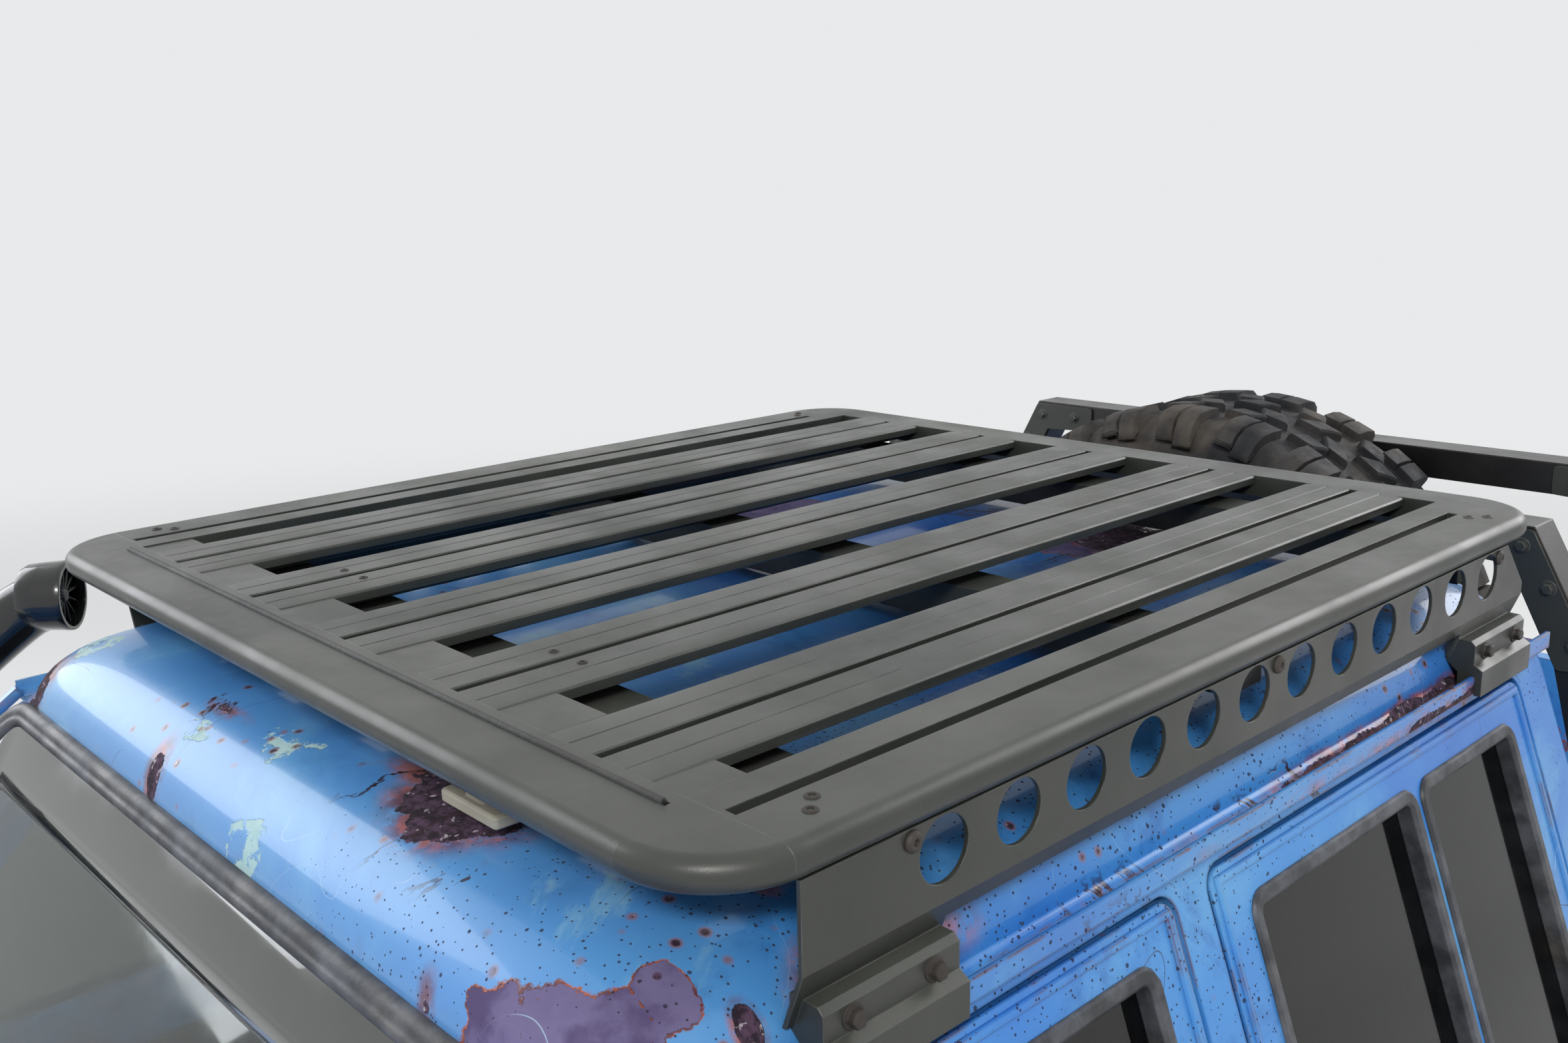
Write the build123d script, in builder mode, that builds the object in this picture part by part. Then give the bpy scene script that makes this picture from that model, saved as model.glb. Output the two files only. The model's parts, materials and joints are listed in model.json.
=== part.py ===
from build123d import *
import os
from math import asin, cos, radians, sin

# A lifted double-cab 4x4 pickup with a roof platform, snorkel, bed rack and upright spare wheel.
# Millimetres. +X is the vehicle's left, the front faces -Y, +Z is up, and the tyres stand on Z = 0.

os.makedirs("parts", exist_ok=True)

# Chassis driving dimensions
wheelbase = 2850
front_axle_y = -1525
rear_axle_y = front_axle_y + wheelbase
tyre_radius = 444
rim_radius = 203
wheel_x = 790
kingpin_x = 680
axle_z = tyre_radius
rail_outer_x = 380
rail_width = 70
rail_height = 140
rail_front_y = -2270
rail_rear_y = 2355

# Body driving dimensions
body_x = 845
belt_x = 790
gutter_x = 600
sill_z = 830
panel_z = 780
nose_low_z = 860
shoulder_z = 1330
belt_z = 1415
gutter_z = 1950
crown_z = 2025
cab_front_y = -1010
cab_rear_y = 790
header_y = -650
header_z = 1935
cowl_z = 1440
cab_floor = 32
rocker = 95
lean = (belt_x - gutter_x) / (gutter_z - belt_z)

# Doors and their gaps
door_gap = 6
skin = 4
door_low_depth = 73
door_high_depth = 43
door_bottom_z = 868
door_top_z = 1912
front_door_front_y = -975
front_door_rear_y = -55
rear_door_front_y = 5
rear_door_rear_y = 700
hinge_x = 858
hinge_pin_r = 6
window_bottom_z = 1450
window_top_z = 1870
glass = 5
seat_gap = 0.3

# Front end
nose_y = -2232
nose_drop = 80
hood_half = 636
fender_in_x = 642
fender_top_z = 1425
hood_crown = 30
hood_thick = 24
front_arch_r = 525

# Load bed
bed_front_y = 812
bed_rear_y = 2330
bed_inner_x = 720
bed_floor_z = 930
bed_floor = 30
rear_arch_r = 505

# Roof platform, measured on the reference
rack_top_z = 2120
rack_half = 618
rack_front_y = -578
rack_rear_y = 750
rack_height = 28
rack_corner_r = 90
rack_edge_r = 13
plank_pitch = 202
plank_width = 130
plank_edge = 12
plank_web = 56
plank_height = 26
plank_front_y = -500
plank_rear_y = 682
side_rail_in_x = 508
side_slot_x = 548
slot_width = 12
plate_hole_count = 12
plate_hole_pitch = 85.4
plate_hole_first_y = -351
plate_hole_z = 2064
plate_hole_r = 26.5


def across(y):
    """The upright plane across the vehicle at a station: local x is X, local y is Z."""
    return Plane.XZ.offset(-y)


def along(x):
    """The upright plane along the vehicle: local x is Y, local y is Z."""
    return Plane.YZ.offset(x)


def side_face(depth_low, depth_high, side, top_z):
    """Four corner points of the body side, from the sill up, at a depth in from its skin."""
    top_x = belt_x - lean * (top_z - belt_z)
    low = [(body_x - depth_low, panel_z), (body_x - depth_low, shoulder_z)]
    high = [(belt_x - depth_high, belt_z), (top_x - depth_high, top_z)]
    return [(side * x, z) for x, z in low + high]


def shoulder_arc(points):
    """The rounded shoulder between the upright side and the leaning windows."""
    (x0, z0), (x1, z1) = points[1], points[2]
    middle = ((x0 + x1) / 2 + (x0 - x1) * 0.18, (z0 + z1) / 2 + (z1 - z0) * 0.18)
    return ThreePointArc(points[1], middle, points[2])


# Ladder frame
def rail_bottom(y):
    """Height of the underside of a frame rail at a station."""
    table = [(rail_front_y, 680), (-1950, 680), (-1150, 650), (800, 650)]
    table += [(1100, 700), (1650, 700), (1900, 660), (rail_rear_y, 660)]
    for (y0, z0), (y1, z1) in zip(table, table[1:]):
        if y0 <= y <= y1:
            return z0 + (z1 - z0) * (y - y0) / (y1 - y0)
    return table[-1][1]


spring_x = 345
spring_width = 60
spring_half = 560
spring_eye_z = 615
spring_eye_half = 570
leaf = 9
leaf_count = 4
spring_low_z = 500
eye_r = 20
eye_pin_r = 10
shock_x = 275
rail_stations = [rail_front_y, -1950, -1150, 800, 1100, 1650, 1900, rail_rear_y]
cross_members = [(-2230, 700, 70), (-250, 700, 60), (300, 700, 60)]
cross_members += [(985, 745, 60), (1780, 740, 60), (2290, 690, 60)]
cab_mounts = [-930, -150, 650]
bed_mounts = [1000, 1560, 2180]

with BuildPart() as ladder_frame:
    for side in (-1, 1):
        inner = side * rail_outer_x if side < 0 else rail_outer_x - rail_width
        with BuildSketch(along(inner)):
            with BuildLine():
                low = [(y, rail_bottom(y)) for y in rail_stations]
                high = [(y, z + rail_height) for y, z in reversed(low)]
                Polyline(low + high, close=True)
            make_face()
        extrude(amount=rail_width)
    for y, z, height in cross_members:
        with Locations((0, y, z + height / 2)):
            Box(2 * (rail_outer_x - rail_width) + 10, 60, height)
    # Bar under the gearbox, hung from both rails
    with Locations((0, -690, 610)):
        Box(2 * rail_outer_x, 60, 19.4)
    for side in (-1, 1):
        with Locations((side * (rail_outer_x - rail_width / 2), -690, 630)):
            Box(rail_width, 60, 50)
        # Spring hangers with their pins
        for axle_y in (front_axle_y, rear_axle_y):
            for end in (-1, 1):
                eye_y = axle_y + end * spring_eye_half
                top_z = rail_bottom(eye_y) + 5
                with Locations((side * spring_x, eye_y, (top_z + spring_eye_z - 25) / 2)):
                    Box(rail_width, 60, top_z - spring_eye_z + 25)
                with Locations((side * spring_x, eye_y, (top_z - 15 + spring_eye_z - 30) / 2)):
                    Box(spring_width + 2 * seat_gap, 60, top_z - spring_eye_z + 15, mode=Mode.SUBTRACT)
                with Locations(Location((side * spring_x, eye_y, spring_eye_z), (0, 90, 0))):
                    Cylinder(eye_pin_r, spring_width + 10)
        # Shock towers
        for axle_y in (front_axle_y, rear_axle_y):
            with Locations((side * (shock_x + 5), axle_y + 150, 795)):
                Box(70, 60, 10)
        # Body mount pucks
        for y in cab_mounts:
            base = rail_bottom(y) + rail_height
            with Locations((side * spring_x, y, (base + sill_z - seat_gap) / 2)):
                Cylinder(32, sill_z - seat_gap - base)
        for y in bed_mounts:
            base = rail_bottom(y) + rail_height
            top = bed_floor_z - bed_floor - seat_gap
            with Locations((side * spring_x, y, (base + top) / 2)):
                Cylinder(32, top - base)
        with Locations((side * spring_x, -2215, (820 + nose_low_z - seat_gap) / 2)):
            Box(50, 80, nose_low_z - seat_gap - 820)
ladder_frame.part.label = "ladder_frame"
export_step(ladder_frame.part, "parts/ladder_frame.step")

# Leaf springs: each main leaf has an eye at both ends, and shorter leaves lie under it
sagitta = spring_eye_z - 5 - (spring_low_z + leaf * leaf_count - leaf / 2)
arc_r = (spring_half ** 2 + sagitta ** 2) / (2 * sagitta)
leaf_halves = [spring_half, 430, 320, 210]
with BuildPart() as leaf_springs:
    for axle_y in (front_axle_y, rear_axle_y):
        for side in (-1, 1):
            centre_z = spring_low_z + leaf * leaf_count + arc_r - leaf
            spring_eyes = [(axle_y + end * spring_eye_half, spring_eye_z) for end in (-1, 1)]
            with BuildSketch(along(side * spring_x - spring_width / 2)):
                for number, half in enumerate(leaf_halves):
                    near_r = arc_r - leaf + number * leaf
                    far_r = near_r + leaf
                    turn = asin(half / far_r)
                    turns = (-turn, 0, turn)
                    with BuildLine():
                        near = [(axle_y + near_r * sin(a), centre_z - near_r * cos(a)) for a in turns]
                        far = [(axle_y + far_r * sin(a), centre_z - far_r * cos(a)) for a in turns]
                        ThreePointArc(*near)
                        ThreePointArc(*far)
                        Line(near[0], far[0])
                        Line(near[2], far[2])
                    make_face()
                with Locations(*spring_eyes):
                    Circle(eye_r)
                with Locations(*spring_eyes):
                    Circle(eye_pin_r + seat_gap, mode=Mode.SUBTRACT)
            extrude(amount=spring_width)
            # Clamp plate above, U-bolt legs and plate below the axle
            with Locations((side * spring_x, axle_y, spring_low_z + leaf * leaf_count + 6)):
                Box(92, 126, 14)
            with Locations((side * spring_x, axle_y, axle_z - 42 - seat_gap - 6)):
                Box(92, 126, 12)
            with Locations(Location((side * spring_x, axle_y, 470))):
                with GridLocations(74, 104, 2, 2):
                    Cylinder(6, 170)
leaf_springs.part.label = "leaf_springs"
export_step(leaf_springs.part, "parts/leaf_springs.step")

# Shock absorbers, from a bracket on each axle to the tower on the rail
with BuildPart() as shock_absorbers:
    for axle_y in (front_axle_y, rear_axle_y):
        for side in (-1, 1):
            foot = Vector(side * shock_x, axle_y + 85, axle_z + 20)
            head = Vector(side * shock_x, axle_y + 150, 770)
            slant = Plane(origin=foot, z_dir=head - foot)
            length = (head - foot).length
            with BuildSketch(slant.offset(14)):
                Circle(27)
            extrude(amount=length * 0.5)
            with BuildSketch(slant.offset(length * 0.5)):
                Circle(20)
            extrude(amount=length * 0.5)
            with Locations((side * shock_x, head.Y, 780 - seat_gap / 2)):
                Cylinder(14, 20 - seat_gap)
            with Locations(Location((side * shock_x, foot.Y, foot.Z), (0, 90, 0))):
                Cylinder(20, 44)
shock_absorbers.part.label = "shock_absorbers"
export_step(shock_absorbers.part, "parts/shock_absorbers.step")

# Axles
axle_tube_r = 42
yoke_x = 600
yoke_plate = 30
yoke_plate_y = 74
yoke_arm_z = 104
yoke_arm_t = 22
trunnion_r = 15
front_diff_x = -120
yoke_gap = 0.5
with BuildPart() as front_axle:
    with Locations(Location((0, front_axle_y, axle_z), (0, 90, 0))):
        Cylinder(axle_tube_r, 2 * yoke_x + 20)
    with Locations((front_diff_x, front_axle_y, axle_z)):
        Sphere(112)
    with Locations(Location((front_diff_x, front_axle_y + 130, axle_z), (90, 0, 0))):
        Cylinder(45, 60)
    for side in (-1, 1):
        with Locations((side * yoke_x, front_axle_y, axle_z)):
            Box(yoke_plate, yoke_plate_y, 2 * yoke_arm_z + yoke_arm_t)
        for up in (-1, 1):
            with Locations((side * (yoke_x + kingpin_x) / 2, front_axle_y, axle_z + up * yoke_arm_z)):
                Box(kingpin_x - yoke_x, yoke_plate_y - 4, yoke_arm_t)
            with Locations((side * kingpin_x, front_axle_y, axle_z + up * yoke_arm_z)):
                Cylinder(35, yoke_arm_t)
            with Locations((side * kingpin_x, front_axle_y, axle_z + up * yoke_arm_z)):
                Cylinder(trunnion_r + seat_gap, yoke_arm_t + 8, mode=Mode.SUBTRACT)
        with Locations((side * spring_x, front_axle_y, spring_low_z - seat_gap - 15)):
            Box(70, 80, 30)
        with Locations((side * shock_x, front_axle_y + 67, axle_z - 8)):
            Box(44, 75, 16 - 2 * seat_gap)
front_axle.part.label = "front_axle"
export_step(front_axle.part, "parts/front_axle.step")

drum_r = 140
spindle_r = 30
hub_face_x = 736
with BuildPart() as rear_axle:
    with Locations(Location((0, rear_axle_y, axle_z), (0, 90, 0))):
        Cylinder(axle_tube_r, 2 * 670)
    with Locations((0, rear_axle_y, axle_z)):
        Sphere(130)
    with Locations(Location((0, rear_axle_y - 130, axle_z), (90, 0, 0))):
        Cylinder(45, 60)
    for side in (-1, 1):
        with Locations(Location((side * (hub_face_x - 38), rear_axle_y, axle_z), (0, 90, 0))):
            Cylinder(drum_r, 76)
        with Locations(Location((side * (hub_face_x + 22), rear_axle_y, axle_z), (0, 90, 0))):
            Cylinder(spindle_r, 104)
        with Locations((side * spring_x, rear_axle_y, spring_low_z - seat_gap - 15)):
            Box(70, 80, 30)
        with Locations((side * shock_x, rear_axle_y + 67, axle_z - 8)):
            Box(44, 75, 16 - 2 * seat_gap)
rear_axle.part.label = "rear_axle"
export_step(rear_axle.part, "parts/rear_axle.step")

# Steering knuckles with spindle, brake disc and steering arm
arm_y = 135
arm_x = kingpin_x - 10
arm_width = 30
for name, side in (("left", 1), ("right", -1)):
    with BuildPart() as knuckle:
        with Locations((side * kingpin_x, front_axle_y, axle_z)):
            Cylinder(34, 2 * (yoke_arm_z - yoke_gap) - yoke_arm_t)
            Cylinder(trunnion_r, 2 * yoke_arm_z + yoke_arm_t)
        # Columns: distance out from the kingpin, radius, width
        for out, radius, width in ((20, 50, 40), (30, 70, 20), (hub_face_x - kingpin_x - 8, 135, 16)):
            with Locations(Location((side * (kingpin_x + out), front_axle_y, axle_z), (0, 90, 0))):
                Cylinder(radius, width)
        with Locations(Location((side * (hub_face_x + 22), front_axle_y, axle_z), (0, 90, 0))):
            Cylinder(spindle_r, 104)
        with Locations((side * arm_x, front_axle_y - arm_y / 2, axle_z + 20)):
            Box(arm_width, arm_y, 24)
        with Locations((side * arm_x, front_axle_y - arm_y, axle_z + 20)):
            Cylinder(22, 24)
    knuckle.part.label = "knuckle_" + name
    export_step(knuckle.part, "parts/knuckle_" + name + ".step")

# Tie rod, with a flat end under each steering arm
rod_r = 12
rod_end = 28
with BuildPart() as tie_rod:
    rod_z = axle_z + 8 - seat_gap - rod_end / 2
    with Locations(Location((0, front_axle_y - arm_y, rod_z), (0, 90, 0))):
        Cylinder(rod_r, 2 * arm_x)
    for side in (-1, 1):
        with Locations((side * arm_x, front_axle_y - arm_y, rod_z)):
            Cylinder(22, rod_end)
tie_rod.part.label = "tie_rod"
export_step(tie_rod.part, "parts/tie_rod.step")

# Engine as one plain block, with gearbox, transfer case and propeller shafts
with BuildPart() as drivetrain:
    with Locations((0, -1450, 965)):
        Box(400, 600, 530)
    for side in (-1, 1):
        with Locations((side * 254.85, -1610, 765)):
            Box(109.7, 90, 50)
    with Locations((0, -900, 720)):
        Box(240, 520, 199.4)
    with Locations((-55, -475, 675)):
        Box(350, 340, 270)
    shaft_ends = [
        (Vector(0, -320, 650), Vector(0, rear_axle_y - 160, axle_z)),
        (Vector(front_diff_x, -620, 570), Vector(front_diff_x, front_axle_y + 160, axle_z)),
    ]
    for start, end in shaft_ends:
        with BuildSketch(Plane(origin=start, z_dir=end - start)):
            Circle(30)
        extrude(amount=(end - start).length - 6)
drivetrain.part.label = "drivetrain"
export_step(drivetrain.part, "parts/drivetrain.step")

# Exhaust with its silencer
pipe_r = 28
with BuildPart() as exhaust:
    with BuildLine() as exhaust_path:
        FilletPolyline(
            (-200 - seat_gap, -1300, 760),
            (-275, -1300, 760),
            (-275, -1060, 545),
            (-275, 200, 545),
            (-205, 500, 560),
            (-205, 1850, 560),
            (-430, 2150, 545),
            (-430, 2345, 545),
            radius=70,
        )
    with BuildSketch(Plane(origin=exhaust_path.line @ 0, z_dir=exhaust_path.line % 0)):
        Circle(pipe_r)
    sweep(path=exhaust_path.line)
    with Locations(Location((-275, -40, 545), (90, 0, 0))):
        Cylinder(72, 380)
exhaust.part.label = "exhaust"
export_step(exhaust.part, "parts/exhaust.step")

# Fuel tank against the inner face of the left rail
with BuildPart() as fuel_tank:
    with Locations((185 - seat_gap / 2, 640, 690)):
        Box(250 - seat_gap, 580, 180)
    fillet(fuel_tank.edges().filter_by(Axis.Y), radius=30)
fuel_tank.part.label = "fuel_tank"
export_step(fuel_tank.part, "parts/fuel_tank.step")

# Cab shell: a section across the body, cut to its side view, less the hollow inside
roof_inset = 35
roof_arc_front_y = -400
roof_arc_rear_y = 690
roof_front_r = 120
roof_rear_r = 45
header_r = 60
roof_side_r = 12
wall_back = 48
door_outlines = {
    "front": [
        (front_door_front_y, door_bottom_z),
        (front_door_front_y, belt_z - 10),
        (-932, window_bottom_z - 2),
        (-588, door_top_z),
        (front_door_rear_y, door_top_z),
        (front_door_rear_y, door_bottom_z),
    ],
    "rear": [
        (rear_door_front_y, door_bottom_z),
        (rear_door_front_y, door_top_z),
        (rear_door_rear_y, door_top_z),
        (rear_door_rear_y, door_bottom_z),
    ],
}
divider_y = 400
divider = 24
window_outlines = {
    "front": [
        [(-868, window_bottom_z), (-557, window_top_z), (-104, window_top_z)] + [(-104, window_bottom_z)],
    ],
    "rear": [
        [(62, window_bottom_z), (62, window_top_z), (divider_y - divider / 2, window_top_z)]
        + [(divider_y - divider / 2, window_bottom_z)],
        [(divider_y + divider / 2, window_bottom_z), (divider_y + divider / 2, window_top_z)]
        + [(648, window_top_z), (648, window_bottom_z)],
    ],
}
screen_slope = Plane(
    origin=(0, (cab_front_y + header_y) / 2, (cowl_z + header_z) / 2),
    x_dir=(1, 0, 0),
    z_dir=(0, cowl_z - header_z, header_y - cab_front_y),
)
screen_low = (705, -262)
screen_high = (560, 258)
screen_corner_r = 55
rear_window = (1000, 370)
rear_window_z = 1665


def screen_face(depth, inset):
    """The windscreen opening's outline, at a depth along the screen's normal, drawn in by an inset."""
    (x0, v0), (x1, v1) = screen_low, screen_high
    with BuildSketch(screen_slope.offset(depth)) as face:
        Polygon((x0, v0), (x1, v1), (-x1, v1), (-x0, v0), align=None)
        fillet(face.vertices(), radius=screen_corner_r)
        if inset:
            offset(amount=-inset, mode=Mode.REPLACE)
    return face.sketch


def side_view(x, outlines, radius, grow):
    """Outlines given as (Y, Z) points, standing at X, with rounded corners and grown all round."""
    with BuildSketch(along(x)) as face:
        for outline in outlines:
            Polygon(*outline, align=None)
        fillet(face.vertices(), radius=radius)
        if grow:
            offset(amount=grow, mode=Mode.REPLACE)
    return face.sketch


def wide_edge(part, y, z):
    """The edge across the whole roof that lies nearest to a station and a height."""
    wide = [edge for edge in part.edges() if edge.bounding_box().size.X > body_x]
    return min(wide, key=lambda edge: abs(edge.center().Y - y) + abs(edge.center().Z - z))


with BuildPart() as cab_hollow:
    with BuildSketch(across(-960)):
        with BuildLine():
            inner = side_face(door_low_depth, door_high_depth, 1, gutter_z - 30)
            floor_z = sill_z + cab_floor
            Polyline((0, floor_z), (inner[0][0], floor_z), inner[1], inner[2], inner[3])
            left = [(-x, z) for x, z in inner]
            ThreePointArc(inner[3], (0, crown_z - roof_inset), left[3])
            Polyline((0, floor_z), (left[0][0], floor_z), left[1], left[2], left[3])
        make_face()
    extrude(amount=-(cab_rear_y - wall_back + 960))
    with BuildSketch(along(-900)):
        with BuildLine():
            Polyline((-960, sill_z), (-960, 1435), (-602, 1918))
            ThreePointArc((-602, 1918), (-540, 1968), (-400, 1991))
            back_y = cab_rear_y - wall_back
            Polyline((-400, 1991), (back_y, 1991), (back_y, sill_z), (-960, sill_z))
        make_face()
    extrude(amount=1800, mode=Mode.INTERSECT)

with BuildPart() as cab_shell:
    with BuildSketch(across(cab_front_y)):
        with BuildLine():
            outer = side_face(0, 0, 1, gutter_z)
            under = [(0, sill_z), (body_x - rocker, sill_z), (body_x - rocker + 8, panel_z)]
            Polyline(under + outer[:2])
            shoulder_arc(outer)
            Line(outer[2], outer[3])
            ThreePointArc(outer[3], (0, crown_z), (-outer[3][0], outer[3][1]))
            mirrored = side_face(0, 0, -1, gutter_z)
            Line(mirrored[3], mirrored[2])
            shoulder_arc(mirrored)
            Polyline([mirrored[1], mirrored[0]] + [(-x, z) for x, z in reversed(under)])
        make_face()
    extrude(amount=-(cab_rear_y - cab_front_y))
    with BuildSketch(along(-900)):
        with BuildLine():
            Polyline((cab_front_y, panel_z), (cab_front_y, cowl_z), (header_y, header_z))
            ThreePointArc((header_y, header_z), (-575, 1990), (roof_arc_front_y, crown_z))
            Line((roof_arc_front_y, crown_z), (roof_arc_rear_y, crown_z))
            ThreePointArc((roof_arc_rear_y, crown_z), (758, 2000), (cab_rear_y, 1930))
            Polyline((cab_rear_y, 1930), (cab_rear_y, panel_z), (cab_front_y, panel_z))
        make_face()
    extrude(amount=1800, mode=Mode.INTERSECT)
    # Round the roof into the windscreen header, the rear panel and the gutters
    fillet(wide_edge(cab_shell, roof_arc_front_y, crown_z), radius=roof_front_r)
    fillet(wide_edge(cab_shell, header_y, header_z), radius=header_r)
    fillet(wide_edge(cab_shell, roof_arc_rear_y, crown_z), radius=roof_rear_r)
    roof_sides = cab_shell.edges().filter_by(lambda e: e.bounding_box().size.Y > 900)
    fillet(roof_sides.filter_by(lambda e: abs(e.center().Z - gutter_z) < 1), radius=roof_side_r)
    add(cab_hollow.part, mode=Mode.SUBTRACT)
    for which in ("front", "rear"):
        for side in (-1, 1):
            hole = side_view(560 if side > 0 else -900, [door_outlines[which]], 18, door_gap)
            extrude(hole, amount=340, mode=Mode.SUBTRACT)
    extrude(screen_face(-90, 0), amount=150, mode=Mode.SUBTRACT)
    with BuildSketch(across(cab_rear_y - 100)):
        with Locations((0, rear_window_z)):
            RectangleRounded(rear_window[0], rear_window[1], 50)
    extrude(amount=-150, mode=Mode.SUBTRACT)
    # Rain gutter along each roof edge
    for side in (-1, 1):
        with BuildSketch(across(-630)):
            gutter = [(596, 1938), (624, 1938), (624, 1958), (619, 1958), (619, 1944), (596, 1944)]
            Polygon(*[(side * x, z) for x, z in gutter], align=None)
        extrude(amount=-1400)
    # Door hinges on the body side: a lug with an upright pin
    for side in (-1, 1):
        for front_y in (front_door_front_y, rear_door_front_y):
            for low_z in (960, 1240):
                with Locations((side * hinge_x, front_y - 3, low_z - 7)):
                    Cylinder(11, 13)
                    Box(22, 22, 13, align=(Align.CENTER, Align.MAX, Align.CENTER))
                with Locations((side * (hinge_x - 8), front_y - 3 - 14, low_z - 7)):
                    Box(18, 16, 13)
                with Locations((side * hinge_x, front_y - 3, low_z + 22)):
                    Cylinder(hinge_pin_r, 70)
    # Hood hinge lugs on the cowl
    for side in (-1, 1):
        with Locations((side * 530, -1012, 1455)):
            Box(18, 24, 30)
        with Locations(Location((side * 550, -1016, 1462), (0, 90, 0))):
            Cylinder(5, 56)
cab_shell.part.label = "cab_shell"
export_step(cab_shell.part, "parts/cab_shell.step")

# Windscreen and rear window glass, and the rubber seal round the windscreen
seal_width = 30
with BuildPart() as cab_glass:
    extrude(screen_face(-16, 18), amount=6)
    with BuildSketch(across(cab_rear_y - 30)):
        with Locations((0, rear_window_z)):
            RectangleRounded(rear_window[0] - 2 * seat_gap, rear_window[1] - 2 * seat_gap, 49)
    extrude(amount=-6)
cab_glass.part.label = "cab_glass"
export_step(cab_glass.part, "parts/cab_glass.step")

with BuildPart() as windscreen_seal:
    extrude(screen_face(-28, seat_gap), amount=38)
    extrude(screen_face(-40, seal_width), amount=80, mode=Mode.SUBTRACT)
    extrude(screen_face(-16 - seat_gap, 18 - seat_gap), amount=6 + 2 * seat_gap, mode=Mode.SUBTRACT)
windscreen_seal.part.label = "windscreen_seal"
export_step(windscreen_seal.part, "parts/windscreen_seal.step")

# Doors: a thin outer skin over a deeper core that is drawn in all round, with the windows cut
# Columns: which outline, side name, side of the vehicle, hinge line
door_rows = [
    ("front", "left", 1, front_door_front_y - 3),
    ("front", "right", -1, front_door_front_y - 3),
    ("rear", "left", 1, rear_door_front_y - 3),
    ("rear", "right", -1, rear_door_front_y - 3),
]
core_inset = 10
for which, side_name, side, hinge_y in door_rows:
    start_x = 540 if side > 0 else -890
    with BuildPart() as door:
        with BuildSketch(across(-1000)):
            outer = side_face(0, 0, side, gutter_z)
            inner = side_face(skin, skin, side, gutter_z)
            with BuildLine():
                Line(outer[0], outer[1])
                shoulder_arc(outer)
                Polyline(outer[2], outer[3], inner[3], inner[2])
                shoulder_arc(inner)
                Polyline(inner[1], inner[0], outer[0])
            make_face()
        extrude(amount=-1720)
        extrude(side_view(start_x, [door_outlines[which]], 18, 0), amount=350, mode=Mode.INTERSECT)
    with BuildPart() as door_core:
        with BuildSketch(across(-1000)):
            outer = side_face(skin - 0.5, skin - 0.5, side, gutter_z)
            inner = side_face(door_low_depth, door_high_depth, side, gutter_z)
            with BuildLine():
                Line(outer[0], outer[1])
                shoulder_arc(outer)
                Polyline(outer[2], outer[3], inner[3], inner[2], inner[1], inner[0], outer[0])
            make_face()
        extrude(amount=-1720)
        extrude(side_view(start_x, [door_outlines[which]], 18, -core_inset), amount=350, mode=Mode.INTERSECT)
    with BuildPart() as finished:
        add(door.part)
        add(door_core.part)
        extrude(side_view(start_x, window_outlines[which], 16, 0), amount=350, mode=Mode.SUBTRACT)
        # Hinge barrels with their leaves
        for low_z in (960, 1240):
            with Locations((side * hinge_x, hinge_y, low_z + 28)):
                Cylinder(11, 56)
            with Locations((side * (hinge_x - 9), hinge_y + 24, low_z + 28)):
                Box(12, 48, 56)
            with Locations((side * hinge_x, hinge_y, low_z + 28)):
                Cylinder(hinge_pin_r + seat_gap, 80, mode=Mode.SUBTRACT)
        # Handle
        handle_y = (front_door_rear_y if which == "front" else rear_door_rear_y) - 110
        with Locations((side * (body_x + 8), handle_y, 1270)):
            Box(20, 130, 26)
        if which == "front":
            # Mirror on its arm
            with Locations((side * 840, -865, 1442)):
                Box(140, 26, 24)
            with Locations((side * 980, -845, 1540)):
                Box(170, 70, 210)
            with Locations((side * 905, -860, 1450)):
                Box(60, 34, 40)
    finished.part.label = "door_" + which + "_" + side_name
    export_step(finished.part, "parts/door_" + which + "_" + side_name + ".step")
    with BuildPart() as window:
        with BuildSketch(across(-1000)):
            outer = side_face(18, 18, side, gutter_z)
            inner = side_face(18 + glass, 18 + glass, side, gutter_z)
            Polygon(outer[2], outer[3], inner[3], inner[2], align=None)
        extrude(amount=-1720)
        extrude(side_view(start_x, window_outlines[which], 16, -seat_gap), amount=350, mode=Mode.INTERSECT)
    window.part.label = "glass_" + which + "_" + side_name
    export_step(window.part, "parts/glass_" + which + "_" + side_name + ".step")

# Fenders: an inverted channel on each side, lofted from the cowl to the lower nose
with BuildPart() as fenders:
    for side in (-1, 1):
        for y, drop in ((cab_front_y - seat_gap, 0), (nose_y, nose_drop)):
            with BuildSketch(across(y)):
                top = fender_top_z - drop
                outer = side_face(0, 0, side, gutter_z)
                with BuildLine():
                    outer = [outer[0], (outer[1][0], outer[1][1] - drop), (outer[2][0], outer[2][1] - drop)]
                    Line(outer[0], outer[1])
                    shoulder_arc(outer)
                    inside = [(fender_in_x, top), (fender_in_x, top - 38), (415, top - 38), (415, 905)]
                    inside += [(430, 905), (430, top - 52), (656, top - 52), (656, top - 16), (780, top - 24)]
                    inside += [(body_x - 16, shoulder_z - drop - 6), (body_x - 16, panel_z)]
                    Polyline([outer[2]] + [(side * x, z) for x, z in inside] + [outer[0]])
                make_face()
        loft(ruled=True)
        with Locations(Location((side * 700, front_axle_y, axle_z), (0, 90, 0))):
            Cylinder(front_arch_r, 400, mode=Mode.SUBTRACT)
    # Cut level above the bumper
    with Locations((0, nose_y, nose_low_z)):
        Box(2 * body_x, 260, 300, align=(Align.CENTER, Align.CENTER, Align.MAX), mode=Mode.SUBTRACT)
fenders.part.label = "fenders"
export_step(fenders.part, "parts/fenders.step")

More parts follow.
